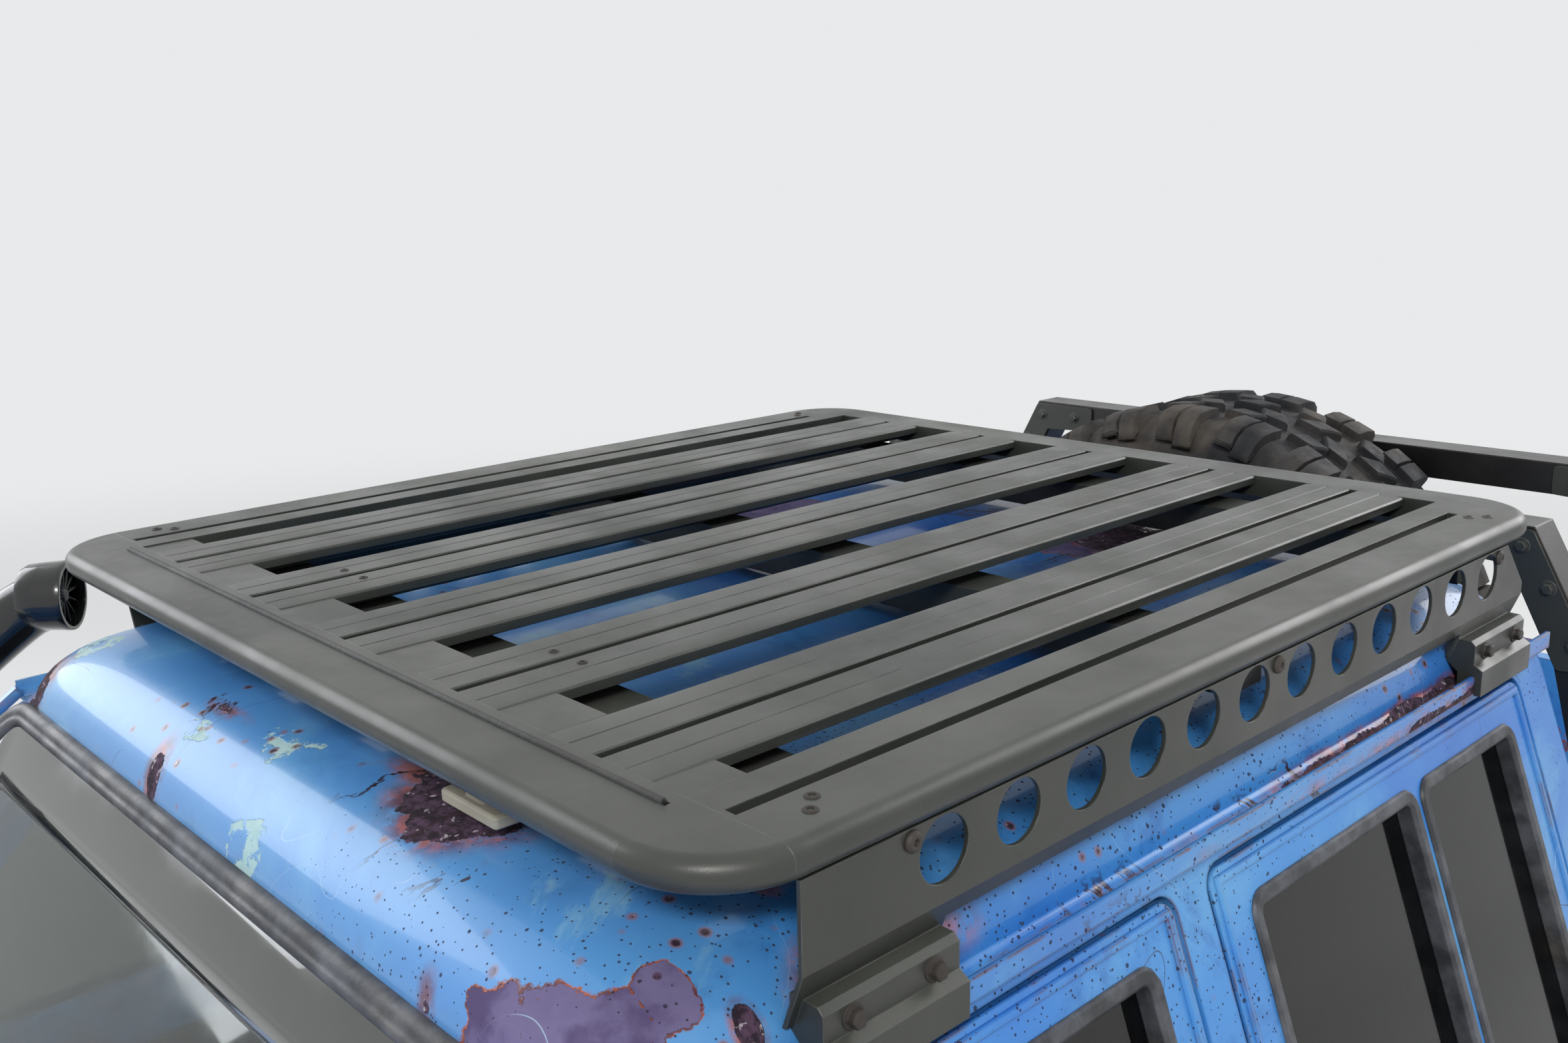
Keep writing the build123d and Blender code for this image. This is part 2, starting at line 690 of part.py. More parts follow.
# Grille panel with round lamp holes and a barred opening
grille_t = 30
lamp_x = 615
lamp_z = 1165
lamp_r = 95
grille_half = 470
grille_low_z = 1040
grille_high_z = 1290
with BuildPart() as grille_panel:
    with BuildSketch(across(nose_y - grille_t)) as outline:
        with BuildLine():
            right = side_face(0, 0, 1, gutter_z)
            right = [(x, z - nose_drop) for x, z in right[:3]]
            right[0] = (body_x, nose_low_z)
            left = [(-x, z) for x, z in right]
            top = fender_top_z - nose_drop
            Line(right[0], right[1])
            shoulder_arc(right)
            Line(right[2], (hood_half, top))
            ThreePointArc((hood_half, top), (0, top + hood_crown), (-hood_half, top))
            Line((-hood_half, top), left[2])
            shoulder_arc(left)
            Polyline(left[1], left[0], right[0])
        make_face()
        with Locations((lamp_x, lamp_z), (-lamp_x, lamp_z)):
            Circle(lamp_r, mode=Mode.SUBTRACT)
        with Locations((0, (grille_low_z + grille_high_z) / 2)):
            RectangleRounded(2 * grille_half, grille_high_z - grille_low_z, 30, mode=Mode.SUBTRACT)
    extrude(amount=-(grille_t - seat_gap))
    for row in range(6):
        with Locations((0, nose_y - grille_t / 2, grille_low_z + 35 + row * 36)):
            Box(2 * grille_half + 10, 20, 14)
    for x in (-235, 0, 235):
        with Locations((x, nose_y - grille_t / 2 + 6, (grille_low_z + grille_high_z) / 2)):
            Box(16, 12, grille_high_z - grille_low_z + 6)
grille_panel.part.label = "grille_panel"
export_step(grille_panel.part, "parts/grille_panel.step")

lamp_tube = 40
lamp_dome = 24
lamp_body_r = lamp_r - seat_gap
dome_r = (lamp_body_r ** 2 + lamp_dome ** 2) / (2 * lamp_dome)
dome_mid = asin(lamp_body_r / dome_r) / 2
with BuildPart() as headlamps:
    for side in (-1, 1):
        with BuildSketch(Plane(origin=(side * lamp_x, nose_y, lamp_z), x_dir=(1, 0, 0), z_dir=(0, 0, 1))):
            with BuildLine():
                tip = lamp_tube + lamp_dome
                Polyline((0, -tip), (0, 0), (lamp_body_r, 0), (lamp_body_r, -lamp_tube))
                middle = (dome_r * sin(dome_mid), dome_r * (1 - cos(dome_mid)) - tip)
                ThreePointArc((lamp_body_r, -lamp_tube), middle, (0, -tip))
            make_face()
        revolve(axis=Axis((side * lamp_x, nose_y, lamp_z), (0, 1, 0)))
headlamps.part.label = "headlamps"
export_step(headlamps.part, "parts/headlamps.step")

with BuildPart() as radiator:
    with Locations((0, -2130, 1080)):
        Box(640, 60, 380)
    with Locations((0, -2130, 1040)):
        Box(2 * (415 - seat_gap), 36, 240)
    with Locations((0, -2075, 1080)):
        Box(240, 50, 240)
radiator.part.label = "radiator"
export_step(radiator.part, "parts/radiator.step")

# Hood, crowned across and lofted to the nose, with a hinge barrel at each rear corner
hood_hinge_y = -1016
hood_hinge_z = 1462
with BuildPart() as hood:
    for y, drop in ((-1020, 0), (nose_y + 6, nose_drop)):
        with BuildSketch(across(y)):
            top = fender_top_z - drop
            with BuildLine():
                ThreePointArc((hood_half, top), (0, top + hood_crown), (-hood_half, top))
                Line((-hood_half, top), (-hood_half, top - hood_thick))
                low = top - hood_thick
                ThreePointArc((-hood_half, low), (0, low + hood_crown), (hood_half, low))
                Line((hood_half, low), (hood_half, top))
            make_face()
    loft(ruled=True)
    for side in (-1, 1):
        with Locations(Location((side * 562, hood_hinge_y, hood_hinge_z), (0, 90, 0))):
            Cylinder(11, 40)
        with Locations((side * 562, hood_hinge_y - 19, 1447)):
            Box(40, 34, 34)
        with Locations(Location((side * 562, hood_hinge_y, hood_hinge_z), (0, 90, 0))):
            Cylinder(5 + seat_gap, 60, mode=Mode.SUBTRACT)
hood.part.label = "hood"
export_step(hood.part, "parts/hood.step")

# Front bumper: a swept-back steel beam on the rail ends, with two recovery eyes
eye_hole_r = 13
eye_thick = 25
eye_y = -2407
with BuildPart() as front_bumper:
    with BuildSketch(Plane.XY.offset(680)):
        half = [(0, -2380), (430, -2380), (905, -2240), (930, -2130), (890, -2130), (862, -2196)]
        half += [(430, rail_front_y - seat_gap), (0, rail_front_y - seat_gap)]
        Polygon(*half, align=None)
        mirror(about=Plane.YZ)
    extrude(amount=165)
    for side in (-1, 1):
        with BuildSketch(along(side * 250 - eye_thick / 2)):
            with Locations((-2395.3, 735)):
                SlotOverall(90, 64)
            with Locations((eye_y, 735)):
                Circle(eye_hole_r, mode=Mode.SUBTRACT)
        extrude(amount=eye_thick)
front_bumper.part.label = "front_bumper"
export_step(front_bumper.part, "parts/front_bumper.step")

# Rear bumper with the square hitch socket below
hitch_outer = 64
hitch_inner = 51
hitch_z = 668
with BuildPart() as rear_bumper:
    with Locations((0, rail_rear_y + seat_gap + 40, 780)):
        Box(1640, 80, 140)
    with Locations((0, rail_rear_y + seat_gap + 40, hitch_z)):
        Box(hitch_outer, 90, hitch_outer)
    with Locations((0, rail_rear_y + seat_gap + 45, hitch_z + 36)):
        Box(200, 60, 30)
    with Locations((0, rail_rear_y + seat_gap + 50, hitch_z)):
        Box(hitch_inner, 120, hitch_inner, mode=Mode.SUBTRACT)
rear_bumper.part.label = "rear_bumper"
export_step(rear_bumper.part, "parts/rear_bumper.step")

# Load bed with wheelhouses
wheelhouse_x = 600
house_wall = 12
tail_lamp_x = 785
tail_lamp_z = 1190
gate_front_y = 2288
gate_rear_y = 2326
gate_hinge_y = 2340
gate_hinge_z = 928
with BuildPart() as wheelhouses:
    for side in (-1, 1):
        with Locations(Location((side * (wheelhouse_x + 70), rear_axle_y, axle_z), (0, 90, 0))):
            Cylinder(rear_arch_r + 35, 140)
    with Locations((0, rear_axle_y, bed_floor_z - bed_floor)):
        Box(2 * body_x, 1200, 400, align=(Align.CENTER, Align.CENTER, Align.MIN), mode=Mode.INTERSECT)

with BuildPart() as load_bed:
    with BuildSketch(across(bed_front_y)):
        with BuildLine():
            right = side_face(0, 0, 1, gutter_z)[:3]
            left = side_face(0, 0, -1, gutter_z)[:3]
            inner = [(bed_inner_x, belt_z), (bed_inner_x, bed_floor_z)]
            low = [(body_x - 20, bed_floor_z - bed_floor), (body_x - 20, panel_z)]
            Line(right[0], right[1])
            shoulder_arc(right)
            Polyline([right[2]] + inner + [(-x, z) for x, z in reversed(inner)] + [left[2]])
            shoulder_arc(left)
            Polyline([left[1], left[0]] + [(-x, z) for x, z in reversed(low)] + low + [right[0]])
        make_face()
    extrude(amount=-(bed_rear_y - bed_front_y))
    with Locations((0, bed_front_y + 19, (bed_floor_z + belt_z) / 2)):
        Box(2 * bed_inner_x + 4, 38, belt_z - bed_floor_z)
    add(wheelhouses.part)
    for side in (-1, 1):
        arch_x = side * (wheelhouse_x + house_wall + 150)
        with Locations(Location((arch_x, rear_axle_y, axle_z), (0, 90, 0))):
            Cylinder(rear_arch_r, 300, mode=Mode.SUBTRACT)
        with Locations((side * tail_lamp_x, bed_rear_y, tail_lamp_z)):
            Box(80, 40, 240, mode=Mode.SUBTRACT)
    with Locations((0, 2280, bed_floor_z - bed_floor - 5)):
        Box(2 * bed_inner_x, 100, 600, align=(Align.CENTER, Align.MIN, Align.MIN), mode=Mode.SUBTRACT)
    # Tailgate hinge lugs with their pins
    for side in (-1, 1):
        with Locations((side * 500, 2307, 915)):
            Box(36, 80, 24)
        with Locations(Location((side * 500, gate_hinge_y, gate_hinge_z), (0, 90, 0))):
            Cylinder(12, 36)
        with Locations(Location((side * 500, gate_hinge_y, gate_hinge_z), (0, 90, 0))):
            Cylinder(6, 100)
load_bed.part.label = "load_bed"
export_step(load_bed.part, "parts/load_bed.step")

with BuildPart() as tail_lamps:
    for side in (-1, 1):
        with Locations((side * tail_lamp_x, bed_rear_y - 6, tail_lamp_z)):
            Box(80 - 2 * seat_gap, 28 - 2 * seat_gap, 240 - 2 * seat_gap)
tail_lamps.part.label = "tail_lamps"
export_step(tail_lamps.part, "parts/tail_lamps.step")

with BuildPart() as tailgate:
    with Locations((0, (gate_front_y + gate_rear_y) / 2, (940 + belt_z) / 2)):
        Box(2 * (bed_inner_x - door_gap), gate_rear_y - gate_front_y, belt_z - 940)
    with Locations((0, gate_rear_y, 1180)):
        Box(1180, 12, 300, mode=Mode.SUBTRACT)
    with Locations((0, gate_rear_y, 1180)):
        Box(1120, 12, 240)
    with Locations((0, gate_rear_y, 1375)):
        Box(180, 30, 40, mode=Mode.SUBTRACT)
    for side in (-1, 1):
        for x in (462, 538):
            with Locations(Location((side * x, gate_hinge_y, gate_hinge_z), (0, 90, 0))):
                Cylinder(12, 38)
            with Locations((side * x, gate_hinge_y - 11, gate_hinge_z + 12)):
                Box(38, 22, 20)
            with Locations(Location((side * x, gate_hinge_y, gate_hinge_z), (0, 90, 0))):
                Cylinder(6 + seat_gap, 60, mode=Mode.SUBTRACT)
tailgate.part.label = "tailgate"
export_step(tailgate.part, "parts/tailgate.step")

# Wheel arch flares, turned about each axle line and cut off level with the panels' lower edge
flare_x = 945
with BuildPart() as arch_flares:
    for axle_y, radius in ((front_axle_y, front_arch_r), (rear_axle_y, rear_arch_r)):
        for side in (-1, 1):
            start_x = body_x + seat_gap
            with BuildSketch(Plane(origin=(0, axle_y, axle_z), x_dir=(1, 0, 0), z_dir=(0, -1, 0))):
                ring = [(start_x, radius), (flare_x, radius), (flare_x, radius + 12), (878, radius + 34)]
                ring += [(start_x + 8, radius + 58), (start_x, radius + 58)]
                Polygon(*[(side * x, r) for x, r in ring], align=None)
            revolve(axis=Axis((0, axle_y, axle_z), (1, 0, 0)), revolution_arc=360)
    with Locations((0, 0, panel_z)):
        Box(2200, 6000, 800, align=(Align.CENTER, Align.CENTER, Align.MIN), mode=Mode.INTERSECT)
arch_flares.part.label = "arch_flares"
export_step(arch_flares.part, "parts/arch_flares.step")

# Black bed rack: two folded-plate hoops on the bed rails, tied by side rails, with the spare's post
spare_x = -40
spare_y = 1125
spare_z = 1695
spare_seat_y = spare_y + wheel_x - hub_face_x
hoop_t = 60
hoop_front_y = 868
hoop_rear_y = 1300
hoop_outer = [(775, belt_z), (650, 1900), (560, 2062), (0, 2062)]
hoop_inner = [(0, 2012), (530, 2012), (600, 1880), (725, belt_z)]
with BuildPart() as bed_rack:
    for y in (hoop_front_y, hoop_rear_y):
        with BuildSketch(across(y)):
            half = [(x, z + (seat_gap if z == belt_z else 0)) for x, z in hoop_outer + hoop_inner]
            Polygon(*half, align=None)
            mirror(about=Plane.YZ)
        extrude(amount=-hoop_t)
    for side in (-1, 1):
        with Locations((side * 648, (hoop_front_y + hoop_rear_y + hoop_t) / 2, 1806)):
            Box(30, hoop_rear_y + hoop_t - hoop_front_y, 44)
        for y in (hoop_front_y, hoop_rear_y):
            with Locations((side * 748, y + hoop_t / 2, belt_z + seat_gap + 6)):
                Box(70, 130, 12)
    with Locations((spare_x, hoop_rear_y + hoop_t / 2, (bed_floor_z + seat_gap + 2030) / 2)):
        Box(110, hoop_t, 2030 - bed_floor_z - seat_gap)
    with Locations((spare_x, hoop_rear_y + hoop_t / 2, bed_floor_z + seat_gap + 8)):
        Box(240, 180, 16)
    with Locations(Location((spare_x, (hoop_rear_y + spare_seat_y) / 2, spare_z), (90, 0, 0))):
        Cylinder(60, hoop_rear_y - spare_seat_y)
    with Locations(Location((spare_x, spare_y, spare_z), (90, 0, 0))):
        Cylinder(spindle_r, 140)
bed_rack.part.label = "bed_rack"
export_step(bed_rack.part, "parts/bed_rack.step")

# Wheels. The half profiles are drawn with local x along the axle, out from the wheel's middle plane
tyre_facets = 32
tread_depth = 20
tread_half = 134
sidewall_x = 159
sidewall_r = 340
bead_x = 100
bead_height = 20
bead_lip = 3
lug_count = 16
lug_length = 98
lug_root = 54
lug_in = 5
lug_out = 142
hole_count = 8
pad_x = hub_face_x + seat_gap - wheel_x


def wheel_plane(centre, outward):
    """A plane through the axle with local x pointing out along it and local y up."""
    return Plane(origin=centre, x_dir=outward, z_dir=Vector(*outward).cross(Vector(0, 0, 1)))


def wheel_face(frame, x):
    """A plane square to the axle, at a distance out along it."""
    return Plane(origin=frame.from_local_coords((x, 0, 0)), x_dir=frame.y_dir, z_dir=frame.x_dir)


def wheel_polygon(frame, x, radius, corner):
    """A many-sided outline round the axle; the radius is to its corners, or to its flats."""
    with BuildSketch(wheel_face(frame, x)) as outline:
        RegularPolygon(radius, tyre_facets, major_radius=corner)
    return outline.sketch


def tyre_solid(centre, outward):
    """A mud tyre in flat facets: a carcass with two staggered rings of tread lugs."""
    frame = wheel_plane(centre, outward)
    tread_r = tyre_radius - tread_depth
    profile = [(-sidewall_x, sidewall_r), (-tread_half, tread_r)]
    profile += [(-x, r) for x, r in reversed(profile)]
    bead_r = rim_radius + bead_height
    with BuildPart() as tyre:
        loft([wheel_polygon(frame, x, r, True) for x, r in profile], ruled=True)
        for half in (-1, 1):
            side = [(sidewall_x + bead_lip, sidewall_r + bead_lip), (bead_x, bead_r)]
            loft([wheel_polygon(frame, half * x, r, True) for x, r in side], ruled=True, mode=Mode.SUBTRACT)
        bore = wheel_polygon(frame, -sidewall_x, rim_radius + seat_gap, False)
        extrude(bore, amount=2 * sidewall_x, dir=Vector(*outward), mode=Mode.SUBTRACT)
        for half, turn in ((1, 0), (-1, 180 / lug_count)):
            with BuildSketch(wheel_face(frame, half * lug_in)):
                with PolarLocations(tyre_radius - lug_root / 2, lug_count, start_angle=turn):
                    Trapezoid(lug_length, lug_root, 80, rotation=-90)
                RegularPolygon(tyre_radius, tyre_facets, mode=Mode.INTERSECT)
            extrude(amount=half * (lug_out - lug_in))
    return tyre.part


def rim_solid(centre, outward):
    """A steel wheel: a well with two lips, a dished disc with round holes, and a hub pad."""
    frame = wheel_plane(centre, outward)
    with BuildPart() as rim:
        with BuildSketch(frame):
            outer = [(-110, rim_radius + 18), (-bead_x - 1, rim_radius + 18), (-bead_x - 1, rim_radius)]
            outer += [(-70, rim_radius), (-50, rim_radius - 15), (50, rim_radius - 15), (70, rim_radius)]
            outer += [(bead_x + 1, rim_radius), (bead_x + 1, rim_radius + 18), (110, rim_radius + 18)]
            hub_r = spindle_r + seat_gap
            well_r = rim_radius - 24
            inner = [(110, rim_radius + 10), (104, rim_radius - 8), (74, rim_radius - 9), (54, well_r)]
            inner += [(10, well_r), (4, 130), (-28, 96), (pad_x + 12, 84), (pad_x + 12, hub_r)]
            inner += [(pad_x, hub_r), (pad_x, 90), (-38, 104), (-6, 134), (-2, well_r)]
            inner += [(-54, well_r), (-74, rim_radius - 9), (-104, rim_radius - 8), (-110, rim_radius + 10)]
            Polygon(*(outer + inner), align=None)
        revolve(axis=Axis(centre, outward))
        with BuildSketch(wheel_face(frame, -60)):
            with PolarLocations(138, hole_count):
                Circle(22)
        extrude(amount=120, mode=Mode.SUBTRACT)
    return rim.part


wheel_rows = [
    ("front_left", (wheel_x, front_axle_y, axle_z), (1, 0, 0)),
    ("front_right", (-wheel_x, front_axle_y, axle_z), (-1, 0, 0)),
    ("rear_left", (wheel_x, rear_axle_y, axle_z), (1, 0, 0)),
    ("rear_right", (-wheel_x, rear_axle_y, axle_z), (-1, 0, 0)),
    ("spare", (spare_x, spare_y, spare_z), (0, -1, 0)),
]
for corner, centre, outward in wheel_rows:
    with BuildPart() as tyre:
        add(tyre_solid(centre, outward))
    tyre.part.label = "tyre_" + corner
    export_step(tyre.part, "parts/tyre_" + corner + ".step")
    with BuildPart() as rim:
        add(rim_solid(centre, outward))
    rim.part.label = "rim_" + corner
    export_step(rim.part, "parts/rim_" + corner + ".step")

# Snorkel up the right windscreen pillar, its mouth turned back and inward
snorkel_r = 40
mouth_turn = radians(38)
mouth_dir = Vector(sin(mouth_turn), cos(mouth_turn), 0)
mouth_centre = Vector(-800, -502, 2002)
head_length = 110
head_back = mouth_centre - mouth_dir * head_length
with BuildPart() as snorkel:
    with BuildLine() as snorkel_path:
        FilletPolyline(
            (-890, -1235, 1300),
            (-890, -1130, 1385),
            (-862, -790, 1840),
            (-875, -690, 1975),
            tuple(head_back + mouth_dir * 10),
            radius=48,
        )
    with BuildSketch(Plane(origin=snorkel_path.line @ 0, z_dir=snorkel_path.line % 0)):
        Circle(snorkel_r)
    sweep(path=snorkel_path.line)
    with BuildSketch(Plane(origin=head_back, z_dir=mouth_dir)):
        Circle(snorkel_r + 4)
    with BuildSketch(Plane(origin=head_back + mouth_dir * 40, z_dir=mouth_dir)):
        Circle(snorkel_r + 8)
    loft()
    with BuildSketch(Plane(origin=head_back + mouth_dir * 40, z_dir=mouth_dir)):
        Circle(snorkel_r + 8)
    extrude(amount=head_length - 40)
    with BuildSketch(Plane(origin=mouth_centre, z_dir=mouth_dir)):
        Circle(snorkel_r + 3)
    extrude(amount=-62, mode=Mode.SUBTRACT)
    with Locations((-(body_x + seat_gap + 22), -1245, 1270)):
        Box(44, 150, 110)
    # Pillar bracket
    with Locations((-802, -815, 1790)):
        Box(130, 34, 24)
snorkel.part.label = "snorkel"
export_step(snorkel.part, "parts/snorkel.step")

# Seats: two front buckets and a rear bench, standing on the floor
seat_x = 390
floor_top = sill_z + cab_floor
# Columns: middle X, width, cushion front Y, cushion rear Y, cushion top Z, back top Z
seat_rows = [
    (seat_x, 480, -560, -60, 1130, 1700),
    (-seat_x, 480, -560, -60, 1130, 1700),
    (0, 1280, 230, 620, 1130, 1650),
]
with BuildPart() as seats:
    for x, width, front_y, rear_y, top_z, back_z in seat_rows:
        with BuildSketch(along(x - width / 2)) as seat_side:
            with BuildLine():
                Polyline(
                    (front_y, floor_top + seat_gap),
                    (front_y, top_z),
                    (rear_y, top_z - 30),
                    (rear_y + 70, back_z),
                    (rear_y + 110, back_z),
                    (rear_y + 90, floor_top + seat_gap),
                    close=True,
                )
            make_face()
            fillet(seat_side.vertices().filter_by(lambda v: v.Z > 1100), radius=18)
        extrude(amount=width)
        if width < 600:
            with Locations((x, rear_y + 88, back_z + 60)):
                Box(250, 70, 160)
seats.part.label = "seats"
export_step(seats.part, "parts/seats.step")

# Dashboard with the steering column and wheel on the left
wheel_centre = Vector(seat_x, -640, 1330)
column_dir = Vector(0, 0.9, 0.44).normalized()
with BuildPart() as dashboard:
    with BuildSketch(along(-740)) as dash_side:
        dash_points = [(-959.7, 1120), (-959.7, 1400), (-860, 1432), (-790, 1410), (-770, 1330), (-830, 1120)]
        Polygon(*dash_points, align=None)
        fillet(dash_side.vertices().filter_by(lambda v: v.Y > -900), radius=20)
    extrude(amount=1480)
    with BuildSketch(Plane(origin=wheel_centre - column_dir * 200, z_dir=column_dir)):
        Circle(26)
    extrude(amount=200)
    with BuildSketch(Plane(origin=wheel_centre, x_dir=(1, 0, 0), z_dir=column_dir)):
        Circle(38)
        Rectangle(370, 24)
        with Locations((0, -90)):
            Rectangle(24, 180)
    extrude(amount=16)
    with Locations(Plane(origin=wheel_centre + column_dir * 8, z_dir=column_dir)):
        Torus(188, 14)
dashboard.part.label = "dashboard"
export_step(dashboard.part, "parts/dashboard.step")

# Roof platform: one rounded frame cut into front rail, rear rail and two side rails
slot_depth = 9
with BuildPart() as platform_frame:
    with BuildSketch(Plane.XY.offset(rack_top_z - rack_height)):
        with Locations((0, (rack_front_y + rack_rear_y) / 2)):
            RectangleRounded(2 * rack_half, rack_rear_y - rack_front_y, rack_corner_r)
    extrude(amount=rack_height)
    fillet(platform_frame.edges().filter_by(Axis.Z, reverse=True), radius=rack_edge_r)
    with Locations((0, (plank_front_y + plank_rear_y) / 2, rack_top_z)):
        Box(2 * side_rail_in_x, plank_rear_y - plank_front_y, 200, mode=Mode.SUBTRACT)
    for side in (-1, 1):
        with Locations((side * side_slot_x, (plank_front_y + plank_rear_y) / 2 - 20, rack_top_z)):
            Box(slot_width, plank_rear_y - plank_front_y - 50, 2 * slot_depth, mode=Mode.SUBTRACT)
    # Groove of the wind seal strip along the front rail
    with Locations((0, plank_front_y - 16, rack_top_z)):
        Box(2 * side_rail_in_x, 6, 8, mode=Mode.SUBTRACT)
with BuildPart() as rack_front_rail:
    add(platform_frame.part)
    split(bisect_by=Plane.XZ.offset(-plank_front_y), keep=Keep.TOP)
    # Flat filler plates between the planks
    for number in range(4):
        x = (number - 1.5) * plank_pitch
        filler_width = plank_pitch - plank_width - 2 * seat_gap
        with Locations((x, plank_front_y - 2, rack_top_z - 4)):
            Box(filler_width, 60, 5, align=(Align.CENTER, Align.MIN, Align.CENTER))
    for side in (-1, 1):
        inner = 2 * plank_pitch + plank_width / 2
        with Locations((side * (inner + side_rail_in_x) / 2, plank_front_y - 2, rack_top_z - 4)):
            Box(side_rail_in_x - inner - 2 * seat_gap, 60, 5, align=(Align.CENTER, Align.MIN, Align.CENTER))
rack_front_rail.part.label = "rack_front_rail"
export_step(rack_front_rail.part, "parts/rack_front_rail.step")
with BuildPart() as rack_rear_rail:
    add(platform_frame.part)
    split(bisect_by=Plane.XZ.offset(-plank_rear_y), keep=Keep.BOTTOM)
rack_rear_rail.part.label = "rack_rear_rail"
export_step(rack_rear_rail.part, "parts/rack_rear_rail.step")
with BuildPart() as rack_side_rails:
    add(platform_frame.part)
    split(bisect_by=Plane.XZ.offset(-plank_front_y), keep=Keep.BOTTOM)
    split(bisect_by=Plane.XZ.offset(-plank_rear_y), keep=Keep.TOP)
rack_side_rails.part.label = "rack_side_rails"
export_step(rack_side_rails.part, "parts/rack_side_rails.step")

with BuildPart() as rack_planks:
    with BuildSketch(across(plank_front_y)):
        for number in range(5):
            with Locations(((number - 2) * plank_pitch, rack_top_z - plank_edge / 2)):
                Rectangle(plank_width, plank_edge)
            with Locations(((number - 2) * plank_pitch, rack_top_z - plank_height / 2)):
                Rectangle(plank_web, plank_height)
            with Locations(((number - 2) * plank_pitch, rack_top_z)):
                Rectangle(slot_width, 2 * slot_depth, mode=Mode.SUBTRACT)
            for groove in (-36, 36):
                with Locations(((number - 2) * plank_pitch + groove, rack_top_z)):
                    Rectangle(4, 4, mode=Mode.SUBTRACT)
    extrude(amount=-(plank_rear_y - plank_front_y))
rack_planks.part.label = "rack_planks"
export_step(rack_planks.part, "parts/rack_planks.step")

bar_width = 60
bar_rows = [-385, 115, 615]
bar_low_z = 2050
# Columns: length, top
bar_steps = [(1160, rack_top_z - rack_height), (2 * side_rail_in_x - 4, rack_top_z - plank_height)]
with BuildPart() as rack_cross_bars:
    for y in bar_rows:
        for length, top_z in bar_steps:
            with Locations((0, y, (bar_low_z + top_z - seat_gap) / 2)):
                Box(length, bar_width, top_z - seat_gap - bar_low_z)
rack_cross_bars.part.label = "rack_cross_bars"
export_step(rack_cross_bars.part, "parts/rack_cross_bars.step")

# Side plates: upright sheet with a row of round holes, folded in below, on clamped legs at both ends
sheet = 4
plate_front_y = -492
plate_rear_y = 694
plate_low_z = 2006
leg_low_z = 1976
leg_length = 150
plate_cut_y = 54
plate_cut_z = 56
plate_corner_r = 14
fold = [(612, rack_top_z - rack_height - seat_gap), (612, 2022), (592, 1970)]
foot_rows = [(-484, -346), (546, 684)]
with BuildPart() as rack_side_plates:
    for side in (-1, 1):
        with BuildPart() as folded:
            with BuildSketch(across(plate_front_y)):
                back = [(x - sheet, z) for x, z in reversed(fold)]
                Polygon(*[(side * x, z) for x, z in fold + back], align=None)
            extrude(amount=-(plate_rear_y - plate_front_y))
            with BuildSketch(along(side * 600 - 60)) as plate_side:
                top_z = rack_top_z - rack_height
                front_leg_y = plate_front_y + leg_length
                rear_leg_y = plate_rear_y - leg_length
                Polygon(
                    (plate_front_y, top_z),
                    (plate_front_y, leg_low_z),
                    (front_leg_y, leg_low_z),
                    (front_leg_y, plate_low_z),
                    (rear_leg_y, plate_low_z),
                    (rear_leg_y, leg_low_z),
                    (plate_rear_y, leg_low_z),
                    (plate_rear_y, top_z - plate_cut_z),
                    (plate_rear_y - plate_cut_y, top_z),
                    align=None,
                )
                inner = plate_side.vertices().filter_by(lambda v: v.Z == plate_low_z)
                fillet(inner, radius=plate_corner_r)
                for number in range(plate_hole_count):
                    with Locations((plate_hole_first_y + number * plate_hole_pitch, plate_hole_z)):
                        Circle(plate_hole_r, mode=Mode.SUBTRACT)
            extrude(amount=120, mode=Mode.INTERSECT)
        add(folded.part)
        for start_y, end_y in foot_rows:
            with BuildSketch(across(start_y)):
                # Cover block over the leg's end, standing in the gutter and hooked round its lip
                clamp = [(590, 1999), (617, 1999), (622, 1994), (622, 1972), (632, 1966), (632, 1936)]
                clamp += [(624.3, 1936), (624.3, 1958.3), (618.7, 1958.3), (618.7, 1944.3), (604.5, 1944.3)]
                clamp += [(604.5, 1960), (590, 1972)]
                Polygon(*[(side * x, z) for x, z in clamp], align=None)
            extrude(amount=-(end_y - start_y))
rack_side_plates.part.label = "rack_side_plates"
export_step(rack_side_plates.part, "parts/rack_side_plates.step")
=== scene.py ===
import bpy
import bmesh
import json
import math
from mathutils import Matrix, Vector

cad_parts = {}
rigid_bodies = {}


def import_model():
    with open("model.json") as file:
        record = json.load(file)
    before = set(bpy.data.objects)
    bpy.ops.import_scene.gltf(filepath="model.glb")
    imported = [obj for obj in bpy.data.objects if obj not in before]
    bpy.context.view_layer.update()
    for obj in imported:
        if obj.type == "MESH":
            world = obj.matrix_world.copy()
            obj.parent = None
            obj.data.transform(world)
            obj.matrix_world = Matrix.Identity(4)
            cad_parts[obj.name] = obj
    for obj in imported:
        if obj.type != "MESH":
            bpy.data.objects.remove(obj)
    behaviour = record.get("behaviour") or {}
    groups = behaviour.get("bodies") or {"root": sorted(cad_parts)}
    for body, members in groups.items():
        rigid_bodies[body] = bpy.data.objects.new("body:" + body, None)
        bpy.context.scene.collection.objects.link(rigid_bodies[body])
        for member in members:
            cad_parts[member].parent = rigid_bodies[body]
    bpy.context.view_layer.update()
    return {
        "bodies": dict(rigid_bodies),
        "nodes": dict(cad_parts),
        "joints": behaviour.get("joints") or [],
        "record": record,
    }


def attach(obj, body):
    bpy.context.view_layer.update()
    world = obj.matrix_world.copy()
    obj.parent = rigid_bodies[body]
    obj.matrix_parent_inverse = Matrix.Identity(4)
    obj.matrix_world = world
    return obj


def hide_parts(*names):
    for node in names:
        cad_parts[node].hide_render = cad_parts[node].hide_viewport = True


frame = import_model()
nodes = frame["nodes"]


